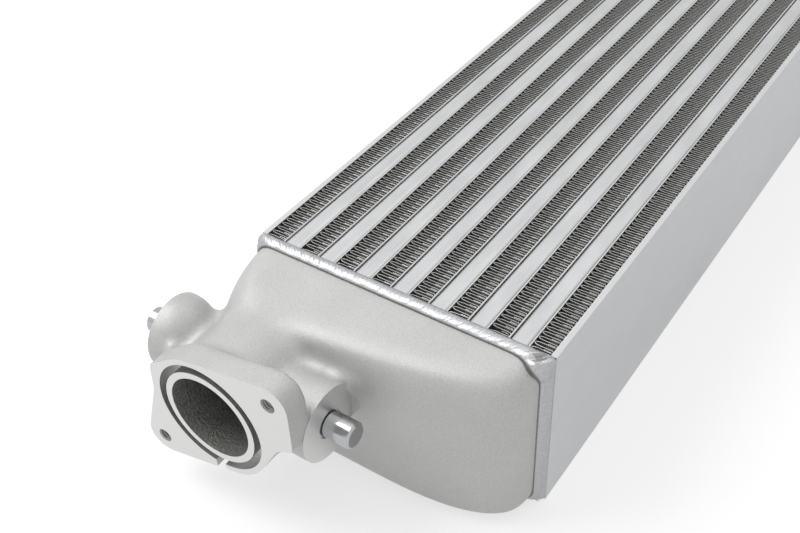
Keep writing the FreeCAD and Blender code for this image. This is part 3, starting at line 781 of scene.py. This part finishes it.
    def stray(self, fin, row):
        """Let the folds stray a little along the row, as folded foil does, more at its two ends."""
        dice = random.Random(self.SEED + row)
        folds = 2 * self.waves + 3
        shifts = [dice.uniform(-1, 1) * self.settings.unevenness for _ in range(folds)]
        bends = [dice.uniform(-1, 1) * self.settings.unevenness for _ in range(folds)]
        half_depth = self.depth / 2
        for vertex in fin.data.vertices:
            x, y, z = vertex.co
            along = max(0.0, x / self.pitch * 2)
            index = int(along)
            share = along - index
            from_end = min(x, self.length - x)
            crush = max(0.0, 1 - from_end / (self.CRUSH_REACH * MM))
            across = y / self.row_height
            shift = shifts[index] * (1 - share) + shifts[index + 1] * share
            bend = bends[index] * (1 - share) + bends[index + 1] * share
            strength = min(1.0, from_end / (self.HELD_EDGE * MM)) * (1 + self.CRUSH_STRAY * crush)
            moved = x + strength * (shift * (1 - across) + bend * across)
            vertex.co.x = min(self.length, max(0.0, moved))
            # The weld's heat has sunk the last folds
            if abs(z - half_depth) > half_depth - self.CRUSH_DEPTH * MM:
                sink = crush * self.CRUSH_SINK * abs(shift + bend)
                vertex.co.z = z - sink if z > half_depth else z + sink


# Weld beads round the joint between the core and each tank


class INTERCOOLER_OT_welds(bpy.types.Operator):
    """Lay the rippled weld bead round each end of the core"""

    bl_idname = "intercooler.welds"
    bl_label = "Weld beads"

    FINISHES = ("weld", "toe")
    AROUND = 1340
    ACROSS = 14
    # Millimetres along the outline, bottom first: side and corner in turn
    RUNS = (150.0, 14.0, 89.0, 14.0, 150.0, 14.0, 89.0, 14.0)
    # Millimetres: how far the tank's wall stands inside the core, and the outline's corner radii
    NEAR_INSET = 3.6
    FAR_INSET = 0.8
    FLAT_INSET = 0.9
    CORE_CORNER = 2.0
    TANK_CORNER = 9.0
    # Millimetres: the bead's width, its own thickness at its two edges, and how deep its foot is
    WIDTH = 8.0
    LIP = 0.28
    FOOT = 1.2
    # Share of the foot's depth at the bead's two edges
    EDGE_FOOT = 0.4
    # The ripples' heights as shares of the crown, and how far a ripple's middle trails its edges
    SWELL = (0.75, 1.2)
    RIPPLE_LAG = 0.9
    SEEDS = {"inlet": 7, "outlet": 8}
    # Vertices closer than this many millimetres are one
    SEAM = 0.01
    # Millimetres: reach of the crater's painted shade, and its floor's height
    CRATER_SHADE_REACH = 2.5
    CRATER_FLOOR = 1.6
    # The near side is ground smooth: share of the crown that is left there
    DRESSED = 0.35
    # The bead's last puddle at the near top corner: millimetres along the bead, share across it,
    # height and reach in millimetres. The second is its crater
    PUDDLE = ((-1.5, 0.5, 3.5, 6.0), (-4.2, 0.52, -3.3, 2.7), (6.5, 0.7, 2.4, 1.5))
    # How much wider the bead is there, and how far along it in millimetres
    FLARE = 0.5
    FLARE_REACH = 6.0

    def execute(self, context):
        self.settings = context.scene.intercooler_welds
        for end, side in zip(ENDS, (-1, 1)):
            self.measure(end, side)
            bead = self.lay_bead(end)
            self.mark_finishes(bead)
            finished(bead, f"weld_bead_{end}", "weld_bead", f"tank_weld_{end}")
        return {"FINISHED"}

    def measure(self, end, side):
        """The places of the bead's two edges in X, and their outlines on the core and on the tank."""
        weld_low, weld_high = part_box(f"tank_weld_{end}")
        plate_low, plate_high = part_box("side_plate_near")
        far_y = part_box("side_plate_far")[1].y
        self.core_x = plate_low.x if side < 0 else plate_high.x
        self.tank_x = weld_low.x if side < 0 else weld_high.x
        self.core = (plate_low.y, far_y, plate_low.z, plate_high.z, self.CORE_CORNER * MM)
        # At the tank the wall stands inside the core's outline, more on the near side
        self.tank = (
            plate_low.y + self.NEAR_INSET * MM,
            far_y - self.FAR_INSET * MM,
            plate_low.z + self.FLAT_INSET * MM,
            plate_high.z - self.FLAT_INSET * MM,
            self.TANK_CORNER * MM,
        )

    def lay_bead(self, end):
        """A ring whose section is a low dome, from the bars' tops to the tank's wall."""
        near_y, _, floor_z = self.core[:3]
        deselect()
        bpy.ops.mesh.primitive_grid_add(
            x_subdivisions=self.AROUND,
            y_subdivisions=self.ACROSS,
            size=1,
        )
        bead = bpy.context.object
        perimeter = sum(self.RUNS) * MM
        ripples = round(perimeter / self.settings.ripple_pitch)
        dice = random.Random(self.SEEDS[end])
        swell = [dice.uniform(*self.SWELL) for _ in range(ripples + 1)]
        swell[-1] = swell[0]
        for vertex in bead.data.vertices:
            # A grid's vertices are numbered row by row, and here a row goes once round the core
            step, column = divmod(vertex.index, self.AROUND + 1)
            turns = column / self.AROUND
            # Share 0 is the core's edge of the bead, 1 the tank's edge
            share = 0.5 - 0.5 * math.cos(2 * math.pi * step / self.ACROSS)
            point, outward = self.rounded_place(turns, share)
            dome = math.sin(math.pi * share)
            phase = turns * ripples - self.RIPPLE_LAG * dome
            ripple_number = math.floor(phase) % ripples
            ripple = phase - math.floor(phase)
            scale = swell[ripple_number] * (1 - ripple) + swell[ripple_number + 1] * ripple
            near = max(0.0, -outward.x)
            height = dome * self.settings.crown * scale
            height += dome * self.settings.ripple_depth * (1 - ripple)
            height *= 1 - (1 - self.DRESSED) * near
            height += self.LIP * MM + self.puddle(turns * perimeter, share)
            flare = self.flare(turns * perimeter)
            # The steps between the two edges are the crown, the others the hidden foot
            if step == 0 or step >= self.ACROSS // 2:
                height = -self.FOOT * MM * max(dome, self.EDGE_FOOT + flare)
            x = self.core_x + (self.tank_x - self.core_x) * share * (1 + flare)
            # The near side is ground almost flush, and the underside so that the part stands flat
            y = max(point.x + outward.x * height, near_y - self.LIP * MM)
            z = max(point.y + outward.y * height, floor_z)
            vertex.co = (x, y, z)
        clean(bead, self.SEAM * MM)
        bpy.ops.object.shade_smooth()
        return bead

    def mark_finishes(self, bead):
        """Weld metal, darker along the edge on the casting, and darker in the crater as painted shade of its
        hollow with some oxide.
        """
        place, middle = self.PUDDLE[1][:2]
        along = self.corner() + place * MM
        point, outward = self.rounded_place(along / (sum(self.RUNS) * MM), middle)
        point = point + outward * self.CRATER_FLOOR * MM
        crater_x = self.core_x + (self.tank_x - self.core_x) * middle * (1 + self.flare(along))
        crater = Vector((crater_x, point.x, point.y))
        paint(bead, *self.FINISHES)
        for face in bead.data.polygons:
            at_toe = face.index // self.AROUND == self.ACROSS // 2 - 1
            # Painted shade, with some oxide, in the crater's hollow
            in_crater_shade = (face.center - crater).length < self.CRATER_SHADE_REACH * MM
            chosen = "toe" if at_toe or in_crater_shade else "weld"
            face.material_index = self.FINISHES.index(chosen)

    def corner(self):
        """How far round the outline the middle of the near top corner is."""
        return (sum(self.RUNS[:5]) + self.RUNS[5] / 2) * MM

    def flare(self, along):
        """How much wider the bead is near its last puddle."""
        return self.FLARE * math.exp(-(((along - self.corner()) / (self.FLARE_REACH * MM)) ** 2))

    def puddle(self, along, share):
        """Extra height where the bead was started and finished, at the near top corner."""
        height = 0.0
        for place, middle, peak, reach in self.PUDDLE:
            beside = (share - middle) * self.WIDTH * MM
            out = math.hypot(along - self.corner() - place * MM, beside)
            height += peak * MM * math.exp(-((out / (reach * MM)) ** 2))
        return height * math.sin(math.pi * share)

    def rounded_place(self, turns, across):
        """A point of the bead's foot, so far round and across it, and its outward direction, in Y and Z."""
        sizes = [(1 - across) * a + across * b for a, b in zip(self.core, self.tank)]
        low_y, high_y, low_z, high_z, corner = sizes
        left = turns * sum(self.RUNS)
        step = 0
        while step < len(self.RUNS) - 1 and left > self.RUNS[step]:
            left -= self.RUNS[step]
            step += 1
        share = left / self.RUNS[step]
        centres = (
            Vector((high_y - corner, low_z + corner)),
            Vector((high_y - corner, high_z - corner)),
            Vector((low_y + corner, high_z - corner)),
            Vector((low_y + corner, low_z + corner)),
        )
        quarter = step // 2
        at_corner = step % 2
        angle = math.radians(-90 + 90 * quarter + 90 * share * at_corner)
        outward = Vector((math.cos(angle), math.sin(angle)))
        if at_corner:
            return centres[quarter] + outward * corner, outward
        start = centres[quarter - 1] + outward * corner
        stop = centres[quarter] + outward * corner
        return start.lerp(stop, share), outward


# CAD nodes that keep their shape


class INTERCOOLER_OT_core(bpy.types.Operator):
    """Give the bars, sheets, plates, turbulators and pins their finishes"""

    bl_idname = "intercooler.core"
    bl_label = "Core and pins"

    def execute(self, context):
        finishes = (
            ("charge_bar", "bar"),
            ("end_bars", "bar"),
            ("parting_sheet", "sheet"),
            ("side_plate", "plate"),
            ("turbulator", "foil"),
            ("locating_pin", "pin"),
        )
        for name, node in nodes.items():
            for start, chosen in finishes:
                if name.startswith(start):
                    paint(node, chosen)
        return {"FINISHED"}


# End tanks: the casting gets its hollow fillets first, then its machined cuts, as the real one does


class INTERCOOLER_OT_tanks(bpy.types.Operator):
    """Round the cast end tanks and machine their faces, groove and holes"""

    bl_idname = "intercooler.tanks"
    bl_label = "End tanks"

    FINISHES = ("cast", "machined", "inside", "tapped")
    # Millimetres, as the solid has them
    NECK_Y = 42.4
    NECK_Z = 58.0
    BORE_RADIUS = 20.7
    BORE_DEPTH = 43.1
    RIM_RADIUS = 30.5
    GROOVE = (23.9, 27.6, 8.5)
    GROOVE_GAP = 5.2
    GAP_ANGLE = 268.0
    GAP_REACH = 34.0
    BOLT_CIRCLE = 45.2
    BOLT_ANGLES = (141.3, 316.3)
    BOLT_HOLE = (3.4, 10.0)
    # Of the near and the far boss: machined face, way out, axis behind the flange face, height
    BOSSES = ((-1.5, -1, 24.7, 58.0), (86.3, 1, 28.3, 63.5))
    BOSS_RADIUS = 17.7
    # Metal that the cuts take off the casting's faces
    BOSS_ALLOWANCE = 4.0
    # The near boss is crisp: it is cast this much lower, and its collar comes after the fillets
    COLLAR_HEIGHT = 1.2
    COLLAR_ROOT = 8.0
    # The shoulder stands clear of the near boss: radius at its face and farther out, and how far
    CLEARANCE = (18.8, 19.8, 34.0)
    FACE_ALLOWANCE = 5.0
    SPOT_FACE_RADIUS = 18.2
    # The shoulder stands this close to the near boss's axis, and this far out past its face
    NEAR_SPOT_FACE = (15.0, 6.0)
    # Radius and depth of the two steps of a pin's seat
    RELIEF = (6.9, 1.0)
    SHANK = (5.0, 16.0)
    # Radius and depth of what fills the bore's mouth and groove, and a flange hole
    MOUTH_PLUG = (30.3, 11.0)
    HOLE_PLUG = (4.5, 10.6)
    # How much wider and deeper a pin seat's filling is, and how far outside a cut starts
    PLUG_MARGIN = 1.0
    OVER = 1.0
    # The brow's softening grows from each first value to the second: behind the flange face,
    # back again before the joint, across and up
    BROW_START = (36.0, 40.0)
    BROW_STOP = (74.0, 64.0)
    BROW_ACROSS = (58.0, 40.0)
    BROW_UP = (28.0, 52.0)
    # How far from the neck's middle the near boss stops, so that it stays out of the bore
    BOSS_STOP = 22.0
    # Width and depth of the chamfer on a flange hole
    CHAMFER = (0.1, 0.7)
    # Height of the drill's cone at the hole's end, and of the plain hole before it
    DRILL_POINT = 1.0
    PLAIN_END = 1.0
    # The bore is straight to the first depth and wide open at the second
    BORE_STRAIGHT = 38.0
    DUCT_OPEN = 46.0
    # Height of the duct's middle at the joint, and how much the bore widens behind its straight part
    DUCT_MIDDLE = 45.0
    DUCT_MARGIN = 6.0
    # The bore's and the holes' own finish starts so deep, and reaches so far outside their radius
    ENTRY = 0.3
    BORE_MARGIN = 0.4
    # How near a vertex is to the flange face, and a face to a plane or to a cut's walls, to lie on it
    AT_FACE = 0.01
    ON_PLANE = 0.05
    ON_WALL = 0.1
    # Vertices closer than this are one
    SEAM = 0.001
    # Edges sharper than this many degrees stay crisp
    SHARP = 38

    def execute(self, context):
        self.settings = context.scene.intercooler_tanks
        low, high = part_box("end_tank_inlet")
        self.face_x = low.x
        self.joint_x = high.x
        tank = copy_of(nodes["end_tank_inlet"])
        tank.parent = None
        # The node's triangles are loose
        clean(tank, self.SEAM * MM, outwards=False)
        self.plug(tank)
        self.soften_brow(tank)
        self.round_hollows(tank)
        self.flatten(tank)
        paint(tank, *self.FINISHES)
        self.machine(tank)
        self.mark_finishes(tank)
        choose(tank)
        bpy.ops.object.shade_smooth_by_angle(angle=math.radians(self.SHARP))
        outlet = copy_of(tank)
        outlet.scale.x = -1
        settle(outlet)
        clean(outlet)
        finished(tank, "cast_tank_inlet", "cast_tank", "end_tank_inlet")
        finished(outlet, "cast_tank_outlet", "cast_tank", "end_tank_outlet")
        return {"FINISHED"}

    def rod(self, radius, start, stop, spot=None, steps=96):
        """A cylinder along X, from and to these depths behind the flange face."""
        y, z = spot or (self.NECK_Y, self.NECK_Z)
        middle = self.face_x + (start + stop) / 2 * MM
        return self.cylinder(radius, stop - start, (middle, y * MM, z * MM), "Y", steps)

    def boss_rod(self, radius, boss, inwards, outwards):
        """A cylinder on a boss's axis, so far inwards and outwards from its machined face."""
        face, way, setback, height = boss
        middle = (face + way * (outwards - inwards) / 2) * MM
        place = (self.face_x + setback * MM, middle, height * MM)
        return self.cylinder(radius, inwards + outwards, place, "X", 96)

    def cylinder(self, radius, length, place, turned_about, steps):
        """A cylinder in millimetres, laid along X or Y."""
        deselect()
        bpy.ops.mesh.primitive_cylinder_add(
            vertices=steps,
            radius=radius * MM,
            depth=length * MM,
            location=place,
            rotation=[math.radians(90) if axis == turned_about else 0.0 for axis in "XYZ"],
        )
        cylinder = bpy.context.object
        settle(cylinder)
        return cylinder

    def bolt_spots(self):
        """Y and Z of the two flange holes."""
        spots = []
        for degrees in self.BOLT_ANGLES:
            angle = math.radians(degrees)
            y = self.NECK_Y + self.BOLT_CIRCLE * math.cos(angle)
            z = self.NECK_Z + self.BOLT_CIRCLE * math.sin(angle)
            spots.append((y, z))
        return spots

    def plug(self, tank):
        """Fill what was machined, so that only the casting itself is rounded."""
        allowance = self.FACE_ALLOWANCE
        for vertex in tank.data.vertices:
            if vertex.co.x < self.face_x + self.AT_FACE * MM:
                vertex.co.x -= allowance * MM
        mouth_radius, mouth_depth = self.MOUTH_PLUG
        hole_radius, hole_depth = self.HOLE_PLUG
        plugs = [self.rod(mouth_radius, -allowance, mouth_depth)]
        plugs.append(self.boss_rod(self.BOSS_RADIUS, self.BOSSES[1], 1.0, self.BOSS_ALLOWANCE))
        for boss in self.BOSSES:
            for radius, depth in (self.RELIEF, self.SHANK):
                wide = radius + self.PLUG_MARGIN
                plugs.append(self.boss_rod(wide, boss, depth + self.PLUG_MARGIN, 0.0))
        for spot in self.bolt_spots():
            plugs.append(self.rod(hole_radius, -allowance, hole_depth, spot=spot))
        choose(tank, *plugs)
        bpy.ops.object.join()

    def soften_brow(self, tank):
        """Smooth the edge where the roof turns down to the neck, and leave the rest alone."""
        apply_modifier(tank, "REMESH", mode="VOXEL", voxel_size=self.settings.grain)
        self.cut(tank, self.clearance())
        brow = tank.vertex_groups.new(name="brow")
        for vertex in tank.data.vertices:
            place = vertex.co / MM
            deep = place.x - self.face_x / MM
            weight = ramp(deep, *self.BROW_START) * ramp(deep, *self.BROW_STOP)
            weight *= ramp(place.y, *self.BROW_ACROSS) * ramp(place.z, *self.BROW_UP)
            if weight > 0:
                brow.add([vertex.index], weight, "REPLACE")
        apply_modifier(
            tank,
            "SMOOTH",
            factor=0.5,
            iterations=self.settings.brow_softness,
            vertex_group="brow",
        )
        # The near boss again, which the smoothing has touched
        reach = self.NECK_Y - self.BOSS_STOP
        bar = self.boss_rod(self.BOSS_RADIUS, self.BOSSES[0], reach, -self.COLLAR_HEIGHT)
        choose(tank, bar)
        bpy.ops.object.join()

    def clearance(self):
        """A cone about the near boss's axis that widens outwards from its foot."""
        face, _, setback, height = self.BOSSES[0]
        foot_radius, far_radius, reach = self.CLEARANCE
        start = face + self.COLLAR_HEIGHT
        middle = start - reach / 2
        deselect()
        bpy.ops.mesh.primitive_cone_add(
            vertices=96,
            radius1=far_radius * MM,
            radius2=foot_radius * MM,
            depth=reach * MM,
            location=(self.face_x + setback * MM, middle * MM, height * MM),
            rotation=(math.radians(-90), 0.0, 0.0),
        )
        cone = bpy.context.object
        settle(cone)
        return cone

    def round_hollows(self, tank):
        """Swell the casting and shrink it back, which leaves a fillet in each hollow corner."""
        size = self.settings.grain
        step = self.settings.cast_radius / 2
        apply_modifier(tank, "REMESH", mode="VOXEL", voxel_size=size)
        for move in (step, step, -step, -step):
            apply_modifier(tank, "DISPLACE", strength=move, mid_level=0.0)
            apply_modifier(tank, "REMESH", mode="VOXEL", voxel_size=size)
        apply_modifier(tank, "SMOOTH", factor=0.5, iterations=3)

    def flatten(self, tank):
        """Bring the joint face back to its plane."""
        for vertex in tank.data.vertices:
            if abs(vertex.co.x - self.joint_x) < self.settings.grain / 2:
                vertex.co.x = self.joint_x

    def combine(self, tank, shape, operation):
        """Cut one closed shape from the tank, or join it on, and remove the shape."""
        apply_modifier(tank, "BOOLEAN", operation=operation, object=shape, solver="MANIFOLD")
        if not tank.data.polygons:
            raise RuntimeError("A boolean left nothing of the tank")
        bpy.data.objects.remove(shape)

    def cut(self, tank, cutter):
        """Cut one closed shape from the tank."""
        self.combine(tank, cutter, "DIFFERENCE")

    def machine(self, tank):
        """Cut the bore, seal groove, tapped holes and pin seats."""
        self.cut(tank, self.rod(3 * self.RIM_RADIUS, -4 * self.FACE_ALLOWANCE, 0.0))
        self.cut(tank, self.rod(self.BORE_RADIUS, -self.OVER, self.BORE_DEPTH, steps=128))
        self.cut(tank, self.turned(self.groove_profile(), steps=128))
        self.cut(tank, self.gap_block())
        for spot in self.bolt_spots():
            self.cut(tank, self.turned(self.thread_profile(), spot=spot, steps=32))
        near, far = self.BOSSES
        collar = self.boss_rod(self.BOSS_RADIUS, near, self.COLLAR_ROOT, 0.0)
        self.combine(tank, collar, "UNION")
        near_radius, near_reach = self.NEAR_SPOT_FACE
        self.cut(tank, self.boss_rod(near_radius, near, 0.0, near_reach))
        self.cut(tank, self.boss_rod(self.SPOT_FACE_RADIUS, far, 0.0, 3 * self.BOSS_ALLOWANCE))
        for boss in self.BOSSES:
            for radius, depth in (self.RELIEF, self.SHANK):
                self.cut(tank, self.boss_rod(radius, boss, depth, self.OVER))

    def groove_profile(self):
        """Section of the seal groove: depth from the flange face, and radius."""
        inner, outer, depth = self.GROOVE
        return ((-self.OVER, inner), (-self.OVER, outer), (depth, outer), (depth, inner))

    def thread_profile(self):
        """Section of a tapped hole: depth from the flange face, and radius."""
        radius, depth = self.BOLT_HOLE
        pitch = self.settings.thread_pitch / MM
        tapping = radius - self.settings.thread_depth / MM
        wide, turn = self.CHAMFER
        points = [(-self.OVER, radius + wide), (0.0, radius + wide), (turn, tapping)]
        while turn + pitch < depth - self.PLAIN_END:
            points += [(turn + pitch / 2, radius), (turn + pitch, tapping)]
            turn += pitch
        # The drill's cone, and the axis back to the start
        points += [(depth, tapping), (depth + self.DRILL_POINT, 0.0), (-self.OVER, 0.0)]
        return points

    def turned(self, profile, spot=None, steps=64):
        """A shape of revolution about an axis along X, from a closed section."""
        y, z = spot or (self.NECK_Y, self.NECK_Z)
        deselect()
        bpy.ops.mesh.primitive_circle_add(vertices=len(profile), radius=MM)
        shape = bpy.context.object
        for vertex, (depth, radius) in zip(shape.data.vertices, profile):
            vertex.co = (self.face_x + depth * MM, (y + radius) * MM, z * MM)
        bpy.ops.object.mode_set(mode="EDIT")
        bpy.ops.mesh.select_all(action="SELECT")
        bpy.ops.mesh.spin(
            steps=steps,
            angle=2 * math.pi,
            center=(self.face_x, y * MM, z * MM),
            axis=(1.0, 0.0, 0.0),
        )
        clean(shape, self.SEAM * MM)
        return shape

    def gap_block(self):
        """The block that opens the seal groove through the rim."""
        inner, outer, depth = self.GROOVE
        start = (inner + outer) / 2
        angle = math.radians(self.GAP_ANGLE)
        reach = (start + self.GAP_REACH) / 2
        deselect()
        bpy.ops.mesh.primitive_cube_add(
            size=1,
            location=(
                self.face_x + (depth - self.OVER) / 2 * MM,
                (self.NECK_Y + reach * math.cos(angle)) * MM,
                (self.NECK_Z + reach * math.sin(angle)) * MM,
            ),
            rotation=(angle, 0.0, 0.0),
            scale=((depth + self.OVER) * MM, (self.GAP_REACH - start) * MM, self.GROOVE_GAP * MM),
        )
        block = bpy.context.object
        settle(block)
        return block

    def inside(self, face, deep, y, z):
        """True on the duct's own wall, which nobody blasts; its darker finish is partly painted shade inside
        the duct.
        """
        out = math.hypot(y - self.NECK_Y, z - self.NECK_Z)
        if deep < self.BORE_STRAIGHT:
            return deep > self.ENTRY and out < self.BORE_RADIUS + self.BORE_MARGIN
        duct_length = self.joint_x - self.face_x - self.BORE_STRAIGHT * MM
        share = (self.joint_x - face.center.x) / duct_length
        middle_z = self.NECK_Z * share + self.DUCT_MIDDLE * (1 - share)
        inwards = Vector((self.NECK_Y * share - y, middle_z - z))
        facing = inwards.x * face.normal.y + inwards.y * face.normal.z
        return facing > 0 and (deep > self.DUCT_OPEN or out < self.BORE_RADIUS + self.DUCT_MARGIN)

    def mark_finishes(self, tank):
        """Blasted, machined or rough: each face gets the finish of what was done to it, and the darker
        finishes of the duct wall and the tapped holes also hold painted shade.
        """
        inner, outer, depth = self.GROOVE
        # A flange hole with its chamfer and its drill point
        hole_radius = self.BOLT_HOLE[0] + 2 * self.ON_WALL
        hole_depth = self.BOLT_HOLE[1] + self.DRILL_POINT + self.OVER
        for face in tank.data.polygons:
            deep = (face.center.x - self.face_x) / MM
            y = face.center.y / MM
            z = face.center.z / MM
            out = math.hypot(y - self.NECK_Y, z - self.NECK_Z)
            machined = face.normal.x < -0.99 and deep < self.ON_PLANE
            in_groove = inner - self.ON_WALL < out < outer + self.ON_WALL and deep < depth + self.ON_WALL
            machined = machined or in_groove
            # The tapped holes' darker finish is painted shade
            tapped = False
            for spot_y, spot_z in self.bolt_spots():
                from_spot = math.hypot(y - spot_y, z - spot_z)
                tapped = tapped or (from_spot < hole_radius and self.ENTRY < deep < hole_depth)
            for level, _, setback, height in self.BOSSES:
                from_axis = math.hypot(deep - setback, z - height)
                on_face = abs(y - level) < self.ON_PLANE and from_axis < self.SPOT_FACE_RADIUS
                at_seat = abs(y - level) < self.RELIEF[1] + self.ENTRY
                in_seat = at_seat and from_axis < self.RELIEF[0] + self.ON_PLANE
                machined = machined or on_face or in_seat
            rough_and_shaded = self.inside(face, deep, y, z)
            chosen = "tapped" if tapped else "machined" if machined else "inside" if rough_and_shaded else "cast"
            face.material_index = self.FINISHES.index(chosen)


class INTERCOOLER_PT_panel(bpy.types.Panel):
    bl_idname = "INTERCOOLER_PT_panel"
    bl_label = "Intercooler"
    bl_space_type = "VIEW_3D"
    bl_region_type = "UI"
    bl_category = "Intercooler"

    def draw(self, context):
        scene = context.scene
        for setting in SETTINGS:
            group = getattr(scene, setting)
            box = self.layout.box()
            for name in group.bl_rna.properties.keys():
                if name not in ("rna_type", "name"):
                    box.prop(group, name)
        for operator in OPERATORS:
            self.layout.operator(operator.bl_idname)


SETTINGS = {
    "intercooler_fins": FinSettings,
    "intercooler_welds": WeldSettings,
    "intercooler_tanks": TankSettings,
    "intercooler_finish": FinishSettings,
}
OPERATORS = (
    INTERCOOLER_OT_stage,
    INTERCOOLER_OT_core,
    INTERCOOLER_OT_tanks,
    INTERCOOLER_OT_fins,
    INTERCOOLER_OT_welds,
)


def register():
    for group in SETTINGS.values():
        bpy.utils.register_class(group)
    for name, group in SETTINGS.items():
        setattr(bpy.types.Scene, name, bpy.props.PointerProperty(type=group))
    for operator in OPERATORS:
        bpy.utils.register_class(operator)
    bpy.utils.register_class(INTERCOOLER_PT_panel)


def unregister():
    bpy.utils.unregister_class(INTERCOOLER_PT_panel)
    for operator in reversed(OPERATORS):
        bpy.utils.unregister_class(operator)
    for name in SETTINGS:
        delattr(bpy.types.Scene, name)
    for group in reversed(SETTINGS.values()):
        bpy.utils.unregister_class(group)


def main():
    """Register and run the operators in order."""
    register()
    bpy.ops.intercooler.stage()
    bpy.ops.intercooler.core()
    bpy.ops.intercooler.tanks()
    bpy.ops.intercooler.fins()
    bpy.ops.intercooler.welds()


if __name__ == "__main__":
    main()
